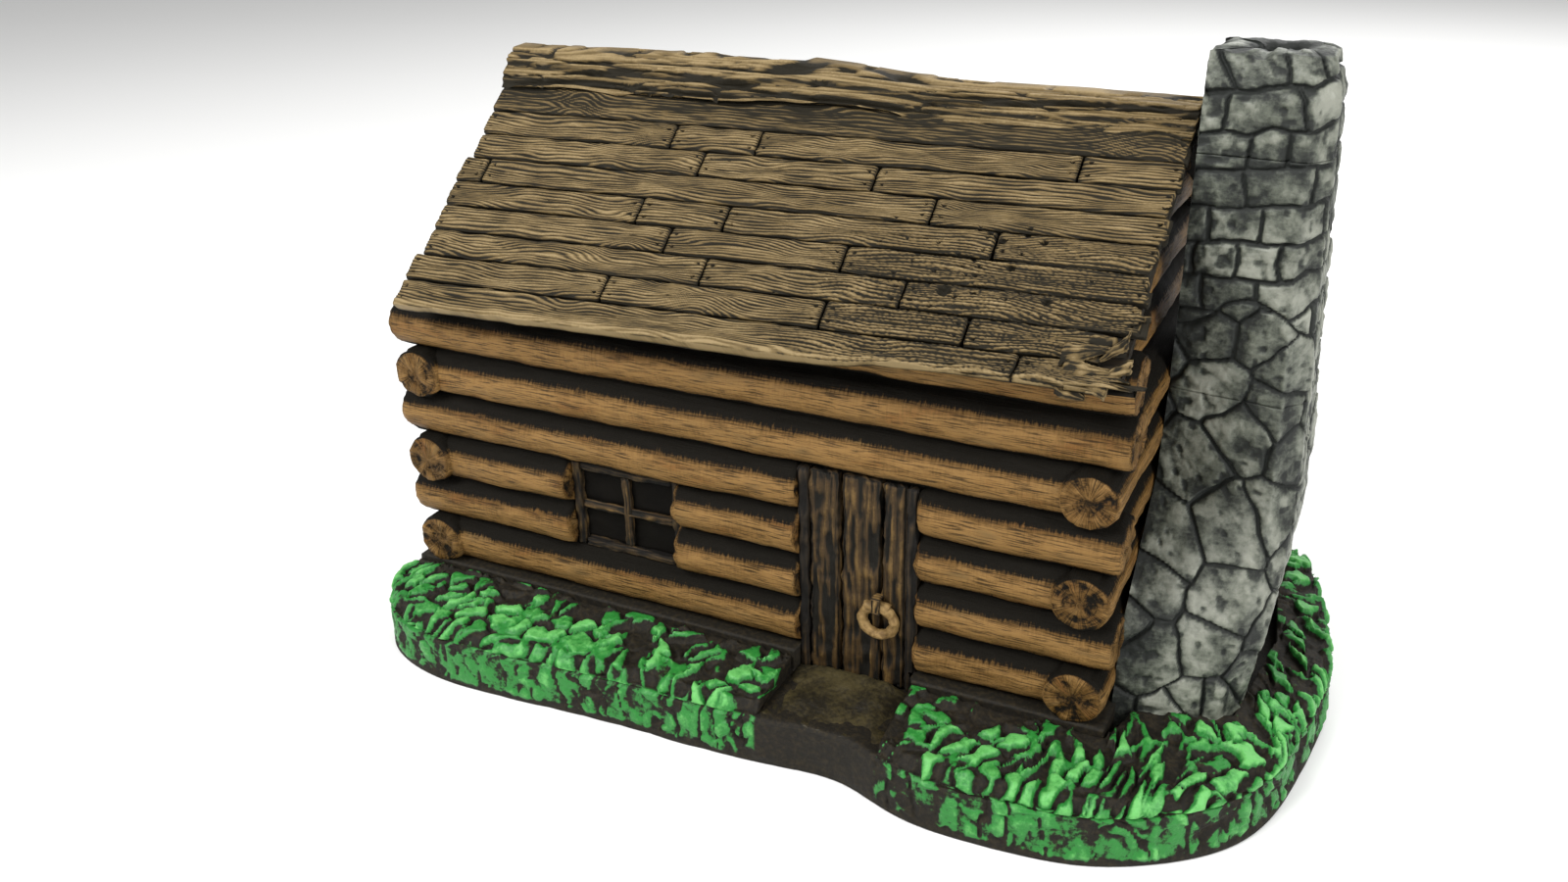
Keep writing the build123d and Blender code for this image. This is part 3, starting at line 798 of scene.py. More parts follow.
def build_piece(name, along, around, form):
    """A closed piece whose form gives points, grain and paint height at once."""
    piece, u, v = start_grid(name, along, around)
    return shape_piece(piece, *form(u, v))


def nail_holes(x0, x1, down0, down1, slope):
    """Two nails beside each butt joint: shares along and down the slope, and a radius in mm."""
    _, origin, length, _, _ = slope
    return [((x - origin[0]) / length, down0 + part * (down1 - down0), 0.27)
            for x in (x0 + 1.1, x1 - 1.1) for part in (0.27, 0.74)]


BROKEN_ROWS = {7: 2.0, 8: 7.0, 9: 10.0}     # how much of the last board has rotted away, mm
BOARD_ROWS = 9
SPLINTERS = (                 # root and tip as shares along and down the slope, half width and lift in mm
    ((0.925, 0.90), (0.978, 0.86), 1.7, 1.2), ((0.935, 0.94), (0.990, 0.93), 1.5, 0.8),
    ((0.985, 0.99), (0.942, 0.965), 1.3, 0.9), ((0.995, 0.84), (0.965, 0.895), 1.4, 1.4),
    ((0.930, 0.985), (0.965, 1.01), 1.2, 0.4), ((1.0, 0.91), (0.975, 0.94), 1.1, 1.1))


def splinter(name, start, end, width, lift, seed):
    """A pointed sliver of rotten board; start and end are shares along and down the slope."""
    surface = front_slope[0]

    def form(u, v):
        t = np.clip((u - 0.04) / 0.96, 0, 1)
        along = start[0] + (end[0] - start[0]) * t + 0.004 * noise(columns(t * 4, 0, seed), seed)
        down = start[1] + (end[1] - start[1]) * t
        thick = width * (1 - t) ** 0.7 * np.clip(u / 0.04, 0, 1)
        turn = 2 * math.pi * v
        height = lift * (1 - 0.8 * t) + 0.3 * np.sin(3 * t + seed) - BOARD * 0.5
        centre = surface(along, down, height)
        side = surface(along, down + 0.01, 0 * t) - surface(along, down, 0 * t)
        side = side / np.linalg.norm(side, axis=1)[:, None]
        up = surface(along, down, 0 * t + 1) - surface(along, down, 0 * t)
        points = centre + side * (thick * np.cos(turn))[:, None] + up * (0.45 * thick * np.sin(turn))[:, None]
        return points, columns(t * 9, turn * width, seed)

    def depth(points, grain, normals):
        strands = np.sin(grain[:, 1] * 5 + seed)
        push = 0.20 * layered(points * 0.9, seed, 3) + 0.10 * strands
        return push, np.clip(0.48 + 0.35 * strands + 0.6 * layered(points * 0.7, seed + 2, 3), 0, 1.2)

    sliver = wrapped(name, 40, 20, form)
    carve(sliver, depth)
    return sliver


# %% Roof boards
origin_y, half_span = front_slope[1][1], front_slope[4]
for row in range(1, BOARD_ROWS + 1):
    node = f"front_roof_boards_row_{row}"
    spans = board_spans(node)
    boards = []
    for number, (x0, x1, y0, y1) in enumerate(spans):
        down0, down1 = (origin_y - y1) / half_span, (origin_y - y0) / half_span
        holes = [pit for pit in pits if down0 - 0.03 < pit[1] < down1 + 0.03]
        holes += nail_holes(x0, x1, down0, down1, front_slope)
        ragged = BROKEN_ROWS.get(row, 0.7) if number == len(spans) - 1 else 0.0
        form = board_form(front_slope, x0, x1, down0, down1, row * 10 + number, 1, holes,
                          row == BOARD_ROWS, ragged)
        boards.append(build_piece(node, int((x1 - x0) * 2.9) + 8, 66, form))
    if row == BOARD_ROWS:
        for number, (start, end, width, lift) in enumerate(SPLINTERS):
            boards.append(splinter(node, start, end, width, lift, 300 + number))
    finish_piece(join_all(boards, f"carved_front_row_{row}"), roof_paint, "roof_boards", node)

rear_boards = []
for number, points in enumerate(islands("rear_roof_boards")):
    (x0, y0), (x1, y1) = points[:, :2].min(0), points[:, :2].max(0)
    down0, down1 = (y0 - rear_slope[1][1]) / rear_slope[4], (y1 - rear_slope[1][1]) / rear_slope[4]
    holes = nail_holes(x0, x1, down0, down1, rear_slope)
    form = board_form(rear_slope, x0, x1, down0, down1, 200 + number, 0, holes)
    rear_boards.append(build_piece("rear", int((x1 - x0) * 1.5) + 8, 44, form))
rear = join_all(rear_boards, "carved_rear_boards")
finish_piece(rear, roof_paint, "roof_boards", "rear_roof_boards")
print("roof boards", len(rear.data.polygons))

# %% [markdown]
# ## Ridge cap
# Two split, weathered boards close the ridge. Their lower edges wander and lift, and long deep cracks run the
# whole length. The crest sags towards the chimney.

# %% Ridge cap
CAP_REACH = 6.5               # how far the cap reaches down each slope, mm


def cap_form(u, v):
    share, shrink = end_caps(u, 0.012)
    x = front_slope[2] * share
    TOP = 0.78
    turn_share = np.clip(v / TOP, 0, 1) * 2 - 1                     # -1 front edge, 0 crest, 1 rear edge
    under = v > TOP
    turn_share = np.where(under, 1 - 2 * np.clip((v - TOP) / (1 - TOP), 0, 1), turn_share)
    front = turn_share < 0
    reach = CAP_REACH + 0.75 * noise(columns(x * 0.075, 0, front * 7.0), 21)
    reach = reach + 0.35 * noise(columns(x * 0.3, 0, front * 7.0), 22)
    w = abs(turn_share) * reach
    sag = -0.2 - 1.5 * smooth(x, 50, 86) + 0.35 * noise(columns(x * 0.07, 0, 0), 3)
    split = reach * (0.46 + 0.16 * noise(columns(x * 0.05, 0, front * 3.0), 24))
    second = reach * (0.78 + 0.12 * noise(columns(x * 0.06, 0, front * 3.0), 25))
    layers = 0.75 * smooth(w, split + 0.25, split - 0.1) + 0.5 * smooth(w, second + 0.2, second - 0.1)
    sway = 0.9 * noise(columns(x * 0.055, w * 0.2, front * 4.0), 29)
    first_crack = smooth(abs(noise(columns(x * 0.032, (w + sway) * 0.80, front * 5.0), 26)), 0.13, 0.02)
    second_crack = smooth(abs(noise(columns(x * 0.06, (w - sway) * 1.25, front * 5.0), 30)), 0.10, 0.02)
    crack = np.maximum(first_crack, 0.8 * second_crack)
    fibres = np.sin(2 * math.pi * (w + 0.8 * layered(columns(x * 0.05, w * 0.5, 1), 27, 3)) / 0.7)
    lifted = 0.5 * smooth(w, reach - 2.0, reach) * (0.4 + noise(columns(x * 0.09, 0, front * 2.0), 28))
    lifted = lifted - 0.25 * smooth(w, reach - 0.4, reach)
    height = np.where(under, 0.15, 0.9 + layers - 0.95 * crack + 0.08 * fibres + lifted)
    height = height + smooth(w, 2.2, 0.0) * (sag * 0.55 + 0.55) * np.where(under, 0.2, 1)
    along = x / front_slope[2]
    on_front = front_slope[0](along, w / front_slope[3], height)
    along_rear = (x + front_slope[1][0] - rear_slope[1][0]) / rear_slope[2]
    on_rear = rear_slope[0](along_rear, w / rear_slope[3], height)
    points = np.where(front[:, None], on_front, on_rear)
    crest = smooth(w, 1.6, 0.0)
    middle_y = (on_front[:, 1] + on_rear[:, 1]) / 2
    points[:, 1] = points[:, 1] * (1 - 0.35 * crest) + middle_y * 0.35 * crest
    points[:, 2] += sag * 0.6
    core = front_slope[0](along, 0 * w, 0 * w + 0.4)
    points = core + (points - core) * shrink[:, None]
    relief = np.where(under, 0.1, 0.74 + 0.24 * fibres - 1.3 * crack + 0.1 * layers)
    relief = relief - 0.5 * smooth(w, split - 0.5, split) * smooth(w, split + 0.9, split + 0.2)
    relief = relief - 0.4 * smooth(w, second - 0.4, second) * smooth(w, second + 0.8, second + 0.2)
    return points, columns(x, w, front * 9.0), np.clip(relief, 0, 1.3)


cap = build_piece("ridge", 300, 110, cap_form)
finish_piece(cap, roof_paint, "roof_boards", "ridge_cap")
print("ridge cap", len(cap.data.polygons))

# %% [markdown]
# ## Logs that stand in groups
# The butted logs of the left wall and the short logs beside the rear mouth are each one CAD node of several
# solids, so a carved log is made for every solid and the group is joined.

# %% Grouped logs
def stacked_logs(node):
    """The points of each log where logs bed on one another: one for each course on each side of a gap."""
    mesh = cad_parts[node].data
    points = cad_points(node)
    bottom = points[:, 2].min()
    middle = (points[:, 0].min() + points[:, 0].max()) / 2 - 4.0
    groups = {}
    for face in mesh.polygons:
        corners = points[list(face.vertices)]
        centre = corners.mean(0)
        course = (centre[2] - bottom) / LOG_PITCH
        if 0.06 < course % 1 < 0.94:
            groups.setdefault((int(course), centre[0] > middle), []).append(corners)
    return [np.concatenate(found) for found in groups.values()]


def group_logs(node, axis, seed, solids):
    made = []
    for number, points in enumerate(solids):
        low, high = points.min(0), points.max(0)
        middle = (low + high) / 2
        start, end, side = (low[0], high[0], middle[1]) if axis == "x" else (low[1], high[1], middle[0])
        form = log_form(start, end, axis, (side, middle[2]), LOG_RADIUS, seed + number)
        log = wrapped(node, int((end - start) * 1.25) + 16, 40, form)
        carve(log, log_depth(middle[2], seed + number))
        made.append(log)
    print(node, len(made), "logs")
    return finish_piece(join_all(made, "carved_" + node), log_paint, "log_brown", node)


group_logs("left_wall_butted_logs", "y", 130, islands("left_wall_butted_logs"))
group_logs("rear_logs_beside_mouth", "x", 150, stacked_logs("rear_logs_beside_mouth"))
print("grouped logs done")

# %% [markdown]
# ## Door
# Three upright boards sit in a dark frame. Each board is a wrapped bar with grain carved along it.

# %% Carved bars
AXES = {"x": (0, 1, 2), "y": (1, 0, 2), "z": (2, 0, 1)}      # along the bar first, then its two sides


def bar_form(low, high, axis, seed):
    """A rectangular bar; its grain runs along the axis."""
    a, b, c = AXES[axis]
    middle, half = (low + high) / 2, (high - low) / 2

    def form(u, v):
        share, shrink = end_caps(u, 0.03)
        round_trip = v * 4 * (half[b] + half[c])
        first, second = 2 * half[b], 2 * half[b] + 2 * half[c]
        third = second + 2 * half[b]
        sides = [round_trip < first, round_trip < second, round_trip < third]
        pb = np.select(sides, [round_trip - half[b], half[b], half[b] - (round_trip - second)], -half[b])
        pc = np.select(sides, [-half[c] + 0 * v, round_trip - first - half[c], half[c] + 0 * v],
                       half[c] - (round_trip - third))
        points = np.zeros((len(u), 3))
        points[:, a] = low[a] + (high[a] - low[a]) * share
        points[:, b] = middle[b] + pb * shrink
        points[:, c] = middle[c] + pc * shrink
        return points, columns(points[:, a], round_trip + seed * 17.0, seed)

    return form


def bar_depth(low, high, axis, seed, deep, period=0.75):
    """Wood grain, gouges and worn edges; deep is the depth of the carving in mm."""
    a, b, c = AXES[axis]

    def depth(points, grain, normals):
        along, across = points[:, a], points[:, b] + points[:, c]
        bend = 0.8 * layered(columns(along * 0.10, across * 0.35, seed), seed, 3)
        wave = np.sin(2 * math.pi * (across + bend) / period)
        gouge = smooth(noise(columns(along * 0.16, across * 1.5, seed + 3), seed + 4), 0.25, 0.6)
        rough = layered(points * 0.55, seed + 5, 3)
        edge = np.sort(np.minimum(points - low, high - points), axis=1)[:, 1]
        wear = 1 - smooth(edge, 0.0, 0.45)
        push = deep * (0.5 * wave + 0.9 * rough - 1.2 * gouge - 1.1 * wear)
        return push, np.clip(0.62 + 0.25 * wave + 0.25 * rough - 0.75 * gouge - 0.35 * wear, 0, 1.3)

    return depth


def make_bar(name, low, high, axis, seed, spacing=0.42, **more):
    low, high = np.array(low, float), np.array(high, float)
    length = (high - low)[AXES[axis][0]]
    girth = 2 * ((high - low).sum() - length)
    form = bar_form(low, high, axis, seed)
    bar = wrapped(name, int(length / spacing) + 10, int(girth / spacing) + 6, form)
    carve(bar, bar_depth(low, high, axis, seed, **more))
    return bar


# %% Door boards and frame
for number, side in enumerate(("left", "middle", "right")):
    node = "door_board_" + side
    low, high = box_mm(node)
    board = make_bar("carved_" + node, low, high, "z", 11 + number, deep=0.30, period=1.1)
    finish_piece(board, door_paint, "door_wood", node)

frame_low, frame_high = box_mm("door_frame")
opening_low, opening_high = box_mm("door_board_left")[0], box_mm("door_board_right")[1]
jambs = [make_bar("jamb", (frame_low[0], frame_low[1], frame_low[2]),
                  (opening_low[0] - 0.1, frame_high[1], frame_high[2]), "z", 21, deep=0.2),
         make_bar("jamb", (opening_high[0] + 0.1, frame_low[1], frame_low[2]),
                  (frame_high[0], frame_high[1], frame_high[2]), "z", 22, deep=0.2),
         make_bar("back", (opening_low[0] - 0.2, opening_high[1] + 0.05, frame_low[2]),
                  (opening_high[0] + 0.2, frame_high[1], frame_high[2]), "z", 23, deep=0.1)]
shadow_paint = make_board_paint("shadow_paint", (0.003, 0.002, 0.001), (0.014, 0.009, 0.004),
                                (0.05, 0.03, 0.012))
finish_piece(join_all(jambs, "carved_door_frame"), shadow_paint, "door_shadow", "door_frame")
print("door done")

# %% Door ring and staple
ring_low, ring_high = box_mm("door_ring")
ring_middle, ring_half = (ring_low + ring_high) / 2, (ring_high - ring_low) / 2
WIRE = (ring_high[1] - ring_low[1]) / 2


def ring_form(u, v):
    """A loop whose two ends cross at the top and flare outwards."""
    share, shrink = end_caps(u, 0.02)
    side = share * 2 - 1                       # -1 at one end, 0 at the bottom of the loop, 1 at the other
    angle = -math.pi / 2 + side * math.radians(205)
    flare = smooth(abs(side), 0.74, 1.0)
    reach = (ring_half[0] - WIRE) * (1 + 0.30 * flare)
    x = ring_middle[0] + reach * np.cos(angle) * (1 + 0.25 * flare)
    z = ring_middle[2] - 0.5 + (ring_half[2] - WIRE) * np.sin(angle) * (1 + 0.12 * flare) * 0.95
    y = ring_middle[1] - 0.5 * WIRE * smooth(side, 0.55, 0.85)
    around = 2 * math.pi * v
    thick = WIRE * (1.05 + 0.06 * np.sin(9 * angle)) * np.sqrt(shrink)
    outward = columns(np.cos(angle), 0, np.sin(angle))
    points = columns(x, y, z) + outward * (thick * np.cos(around))[:, None]
    points[:, 1] += thick * np.sin(around)
    return points, columns(share * 22, around * WIRE, 4)


def ring_depth(points, grain, normals):
    waves = layered(points * 0.9, 31, 3)
    return 0.10 * waves, np.clip(0.85 + 0.3 * waves, 0, 1.3)


ring = wrapped("carved_door_ring", 150, 22, ring_form)
carve(ring, ring_depth)
finish_piece(ring, ring_paint, "door_ring", "door_ring")
staple_low, staple_high = box_mm("ring_staple")
STRAP = 0.45                  # thickness of the staple's legs, mm
strap_high = (staple_high[0], ring_low[1] + 0.1, staple_high[2])
strap = make_bar("carved_ring_staple", staple_low, strap_high, "z", 33, 0.2, deep=0.12)
legs = [make_bar("leg", (*staple_low[:2], z0), (*staple_high[:2], z1), "x", 34, 0.2, deep=0.08)
        for z0, z1 in ((staple_low[2], staple_low[2] + STRAP), (staple_high[2] - STRAP, staple_high[2]))]
finish_piece(join_all([strap] + legs, "carved_ring_staple"), ring_paint, "door_ring", "ring_staple")

# %% [markdown]
# ## Window
# A shallow cast window: four bars round it, a cross of muntins, and black panes set deep between them.

# %% Window
low, high = box_mm("window_frame")
inner_low, inner_high = box_mm("window_panes")
rail_x = (inner_low[0], inner_high[0])
sides = [make_bar(name, (x0, low[1], z0), (x1, high[1], z1), axis, seed, deep=0.2)
         for name, axis, seed, x0, x1, z0, z1 in (
             ("stile", "z", 41, low[0], inner_low[0], low[2], high[2]),
             ("stile", "z", 42, inner_high[0], high[0], low[2], high[2]),
             ("rail", "x", 43, *rail_x, low[2], inner_low[2]),
             ("rail", "x", 44, *rail_x, inner_high[2], high[2]))]
window_paint = make_board_paint("window_paint", (0.003, 0.002, 0.001), (0.022, 0.013, 0.004),
                                (0.085, 0.05, 0.016), 0.3, 5.0)
finish_piece(join_all(sides, "carved_window_frame"), window_paint, "window_wood", "window_frame")
low, high = box_mm("window_muntins")
MUNTIN_HALF = 0.75
(x, _, z) = (low + high) / 2
cross = [make_bar("upright", (x - MUNTIN_HALF, low[1], low[2]), (x + MUNTIN_HALF, high[1], high[2]),
                  "z", 45, 0.3, deep=0.16),
         make_bar("level", (low[0], low[1] + 0.1, z - MUNTIN_HALF), (high[0], high[1], z + MUNTIN_HALF),
                  "x", 46, 0.3, deep=0.16)]
finish_piece(join_all(cross, "carved_window_muntins"), door_paint, "window_wood", "window_muntins")
pane_paint = Paint("pane_paint", Specular_IOR_Level=0.1)
pane_noise = pane_paint.noise(pane_paint.place((0.4, 0.4, 0.4)), 4.0)
pane_colour = pane_paint.mix(pane_noise, (0.0010, 0.0008, 0.0006), (0.004, 0.003, 0.0015))
pane_paint.finish(pane_colour, 0.8, pane_noise, 0.4)
low, high = box_mm("window_panes")
rebate = np.array([0.6, 0.0, 0.6])          # the panes run this far behind the frame, mm
panes = make_bar("carved_window_panes", low - rebate, high + rebate, "x", 47, 0.6, deep=0.1)
finish_piece(panes, pane_paint.material, "window_black", "window_panes")
print("window done")

# %% [markdown]
# ## Chimney
# The chimney is one stone mass that leans in as it rises. Its foot is crazy paving and its upper half rough
# level courses. Single stones could be modelled and stacked, but the real one is a carved block, so joints
# are cut into one wrap as grooves. Each stone stands at its own height, and the outer face carries fine
# upright tool marks.

# %% Stone patterns
def coursed(s, h, wide, tall, seed):
    """The same two values for stones laid in wandering level courses."""
    y = h / tall + 0.16 * noise(columns(s * 0.16, h * 0.05, 3), seed)
    row = np.floor(y).astype(np.int64)
    shares = y - row
    edge = np.minimum(shares, 1 - shares) * tall
    lean = 0.10 * noise(columns(row * 1.7, s * 0.2, 5), seed + 1)
    x = s / wide + 0.37 * row + lean * shares
    column = np.floor(x).astype(np.int64)
    number = np.zeros(len(x))
    for step in (-1, 0, 1, 2):
        at = column + step
        joint = at + 0.36 * lattice(at, row, row * 0, seed)
        keep = lattice(at, row, row * 0 + 4, seed) > -0.55
        edge = np.where(keep, np.minimum(edge, abs(x - joint) * wide), edge)
        number = np.where(x > joint, lattice(at, row, row * 0 + 2, seed), number)
    return edge, number


# %% Chimney form
chimney_low, chimney_high = box_mm("chimney_foot")
crown_low, crown_high = box_mm("chimney_crown")
CHIMNEY_LEVELS = np.array((   # share of height, half width at the wall, depth out, half width outside
    (0.00, 28.5, 16.5, 24.0), (0.17, 26.0, 18.6, 20.5), (0.27, 18.5, 19.3, 16.5), (0.36, 10.5, 19.3, 12.5),
    (0.50, 8.6, 18.6, 9.6), (0.68, 8.0, 17.6, 8.4), (0.86, 7.7, 16.8, 7.7), (0.945, 7.5, 16.5, 7.5),
    (1.00, 5.9, 15.0, 5.9)))
CHAMFER = 3.0
chimney_x = chimney_low[0]
chimney_y = (crown_low[1] + crown_high[1]) / 2
chimney_rise = crown_high[2] - chimney_low[2]
# shares of the grid on the front, a corner, the outer face, a corner, the rear and the wall side
FACE_ENDS = (0.0, 0.25, 0.32, 0.55, 0.62, 0.87, 1.0)
FLUE_X0, FLUE_X1 = 5.2, 11.6  # the flue's sides, mm out from the wall
COURSES_START = 58            # height at which level courses take over from crazy paving, mm
FLUE_DEPTH = 5.0


def chimney_section(share, v):
    """A point of the chimney's outline, and how far round it lies in mm from the outer face's middle."""
    share = share + 0.0 * v
    wall, out, outer = (np.interp(share, CHIMNEY_LEVELS[:, 0], CHIMNEY_LEVELS[:, i]) for i in (1, 2, 3))
    chamfer = np.minimum(CHAMFER, outer * 0.35)
    xs = [0 * out, out - chamfer, out, out, out - chamfer, 0 * out, 0 * out]
    turn = outer + chamfer * 0.35
    ys = [-wall, -turn, -outer + chamfer, outer - chamfer, turn, wall, -wall]
    x, y, travelled, run = 0 * out, 0 * out, 0 * out, 0 * out
    for k in range(6):
        t = np.clip((v - FACE_ENDS[k]) / (FACE_ENDS[k + 1] - FACE_ENDS[k]), 0, 1)
        length = np.hypot(xs[k + 1] - xs[k], ys[k + 1] - ys[k])
        here = (v >= FACE_ENDS[k]) & ((v < FACE_ENDS[k + 1]) | (k == 5))
        x = np.where(here, xs[k] + (xs[k + 1] - xs[k]) * t, x)
        y = np.where(here, ys[k] + (ys[k + 1] - ys[k]) * t, y)
        travelled = np.where(here, run + length * t, travelled)
        run = run + length
        if k == 1:
            middle = run.copy()
        if k == 2:
            middle = (middle + run) / 2
    return x, y, travelled - middle


def stone_cut(s, h, outer_mask, against_wall):
    """Depth of carving in mm and paint height for a spot on the stonework."""
    ragged_s = s + 0.5 * noise(columns(s * 0.35, h * 0.35, 8), 41)
    ragged_h = h + 0.4 * noise(columns(s * 0.35, h * 0.35, 9), 42)
    low_edge, low_stone = paving(ragged_s - 0.55 * ragged_h, ragged_h + 0.35 * ragged_s, 10.0, 7.4, 43)
    high_edge, high_stone = coursed(ragged_s, ragged_h - 0.10 * ragged_s, 6.6, 5.0, 44)
    change = COURSES_START + 2.5 * np.sin(s * 0.3)
    upper = ragged_h > change
    edge = np.minimum(np.where(upper, high_edge, low_edge), abs(ragged_h - change))
    stone = np.where(upper, high_stone, low_stone)
    vary = 0.13 + 0.10 * noise(columns(s * 0.3, h * 0.3, 2), 45)
    joint = 1 - smooth(edge, vary * 0.6, vary + 0.24)
    dome = smooth(edge, 0.2, 1.6)
    rough = layered(columns(s * 0.4, h * 0.4, stone * 3), 46, 4, 0.6)
    chips = smooth(noise(columns(s * 0.85, h * 0.85, 1), 47), 0.35, 0.75)
    marks = noise(columns(s * 1.9, h * 0.28, 6), 48)
    hatch = outer_mask * smooth(h, 8, 22) * (1 - smooth(h, 68, 78))
    marks = marks * hatch
    push = -0.70 * joint + 0.14 * stone + 0.13 * dome + 0.17 * rough - 0.20 * chips * dome + 0.20 * marks
    relief = 0.56 + 0.18 * dome + 0.12 * stone + 0.34 * rough - 1.0 * joint - 0.40 * chips + 0.65 * marks
    return push * (1 - against_wall), np.clip(relief * (1 - against_wall), 0, 1.4)


def build_stone(node, low_share, high_share, along, around, flue=False):
    """One storey of the chimney; the top one folds over its rim and down into the flue."""
    piece, u, v = start_grid("carved_" + node, along, around)
    top = 0.74 if flue else 1 - 0.03
    share = low_share + (high_share - low_share) * np.clip((u - 0.03) / (top - 0.03), 0, 1)
    x, y, s = chimney_section(share, v)
    z = share * chimney_rise
    on_back = v > FACE_ENDS[5]
    around_turn = np.where(on_back, 1 - smooth(share, 0.84, 0.87), 0.0)
    outer_mask = smooth(v, 0.30, 0.34) * (1 - smooth(v, 0.54, 0.60))
    push, relief = stone_cut(s, z, outer_mask, around_turn)
    # painted shade: the front face is painted darker beside the gable wall, in the crease under the roof, up
    # to the crown
    relief = relief - 0.30 * (1 - smooth(v, 0.0, 0.09)) * (1 - smooth(share, 0.80, 0.86))
    outline = np.stack([x, y], axis=1)
    out_x = np.where(on_back, -1.0, smooth(v, 0.20, 0.36) * (1 - smooth(v, 0.52, 0.68)))
    out_y = np.where(on_back, 0.0, np.where(v < 0.435, -1, 1) * np.clip(1 - out_x ** 2, 0, 1) ** 0.5)
    outline = outline + np.stack([out_x, out_y], axis=1) * push[:, None]
    heart = np.array([(FLUE_X0 + FLUE_X1) / 2, 0.0])
    if flue:
        rim = np.clip((u - top) / 0.09, 0, 1)
        down = np.clip((u - top - 0.09) / 0.12, 0, 1)
        inward = np.clip((u - 0.95) / 0.05, 0, 1)
        angle = np.arctan2(outline[:, 1], outline[:, 0] - heart[0])
        hole = np.stack([heart[0] + 3.3 * np.cos(angle), 2.5 * np.sin(angle)], axis=1)
        bumps = layered(columns(s * 0.4, rim * 2, 5), 49, 3)
        notch = smooth(noise(columns(s * 0.22, 0, 4), 50), 0.2, 0.5)
        outline = outline * (1 - rim)[:, None] + hole * rim[:, None]
        outline = outline * (1 - inward)[:, None] + heart * inward[:, None]
        worn = (bumps * 0.3 - 0.8 * notch) * smooth(u, 0.70, top) * (1 - down)
        z = z + np.sin(math.pi * rim) * 0.4 - down * FLUE_DEPTH + worn
        relief = np.where(rim > 0, (0.45 + 0.4 * bumps) * (1 - smooth(rim, 0.6, 1.0)), relief)
    base = np.clip(u / 0.03, 0, 1)
    lid = np.ones_like(u) if flue else np.clip((1 - u) / 0.03, 0, 1)
    outline = heart + (outline - heart) * (base * lid)[:, None]
    points = columns(chimney_x + outline[:, 0], chimney_y + outline[:, 1], chimney_low[2] + z)
    shape_piece(piece, points, columns(s, z, 0), relief)
    return finish_piece(piece, stone_paint.material, "chimney_stone", node)


stone_paint = Paint("stone_paint", Specular_IOR_Level=0.5)
stone_relief = stone_paint.attribute("relief")
broad = stone_paint.noise(stone_paint.place((0.11, 0.11, 0.11)), 3.0, 0.6)
speckle = stone_paint.noise(stone_paint.place((1.6, 1.6, 1.6)), 4.0, 0.65)
brushed = stone_paint.noise(stone_paint.place((0.7, 0.7, 2.2)), 3.0, 0.6)
silver = (stone_relief + (speckle - 0.5) * 0.7 + (broad - 0.5) * 1.1 + (brushed - 0.5) * 0.5).step(0.24, 0.95)
bright_silver = (stone_relief + (speckle - 0.5) * 0.5 + (broad - 0.5) * 1.8).step(0.60, 1.3)
stone_colour = stone_paint.mix(silver, (0.003, 0.005, 0.003), (0.080, 0.089, 0.066))
stone_colour = stone_paint.mix(bright_silver, stone_colour, (0.225, 0.232, 0.190))
stone_paint.finish(stone_colour, 0.46 + 0.25 * (1 - silver), speckle * 0.6 + brushed * 0.4, 0.55, 0.00035)

SHOULDER, SHAFT_TOP = 0.50, 0.86
build_stone("chimney_foot", 0.0, SHOULDER, 190, 330)
build_stone("chimney_shaft", SHOULDER, SHAFT_TOP, 130, 220)
build_stone("chimney_crown", SHAFT_TOP, 1.0, 84, 220, flue=True)
print("chimney done", chimney_rise)

# %% [markdown]
# ## Ground
# The base is a slab with a green-brushed skirt, four turf banks on top and a bare earth path. Turf is carved
# as short worm-like tufts: ridges of warped noise, worked out along the outline so that they follow its
# curve. Hair or scattered blades would look like real grass, and this is a casting of it.

# %% Outline of the ground
slab_points = cad_points("ground_slab")
bank_low, bank_high = box_mm("grass_bank_right")
SLAB_TOP, BANK_TOP = bank_low[2], bank_high[2]
rim_points = slab_points[abs(slab_points[:, 2]) < 0.05]
rim_points = rim_points[np.hypot(*(rim_points[:, :2] / [70, 42]).T) > 0.75]
rim_angles = np.arctan2(rim_points[:, 1], rim_points[:, 0])
order = np.argsort(rim_angles)
rim_angles, rim_reach = rim_angles[order], np.hypot(rim_points[order, 0], rim_points[order, 1])
plinth = slab_points[slab_points[:, 2] > SLAB_TOP + 1]
plinth_low, plinth_high = plinth.min(0), plinth.max(0)
print("rim", len(rim_angles), "plinth", plinth_low.round(1), plinth_high.round(1))


def rim_at(angle):
    reach = np.interp(angle, rim_angles, rim_reach, period=2 * math.pi)
    return np.stack([reach * np.cos(angle), reach * np.sin(angle)], axis=1)


turns = np.linspace(-math.pi, math.pi, 2001)
rim_path = rim_at(turns)
rim_travel = np.concatenate([[0], np.cumsum(np.hypot(*np.diff(rim_path, axis=0).T))])


def rim_hit(start, way):
    """Where a ray from start meets the outline."""
    best = np.full(len(start), 1e9)
    a, b = rim_path[:-1:4], np.roll(rim_path[:-1:4], -1, axis=0)
    for p, q in zip(a, b):
        edge = q - p
        cross = way[:, 0] * edge[1] - way[:, 1] * edge[0]
        cross = np.where(abs(cross) < 1e-9, 1e-9, cross)
        t = ((p[0] - start[:, 0]) * edge[1] - (p[1] - start[:, 1]) * edge[0]) / cross
        k = ((p[0] - start[:, 0]) * way[:, 1] - (p[1] - start[:, 1]) * way[:, 0]) / cross
        ok = (k >= -0.001) & (k <= 1.001) & (t > 0.1)
        best = np.where(ok & (t < best), t, best)
    best = np.where(best > 1e8, 2.0, best)
    return start + way * best[:, None]


def travel_at(points):
    return np.interp(np.arctan2(points[:, 1], points[:, 0]), turns, rim_travel)


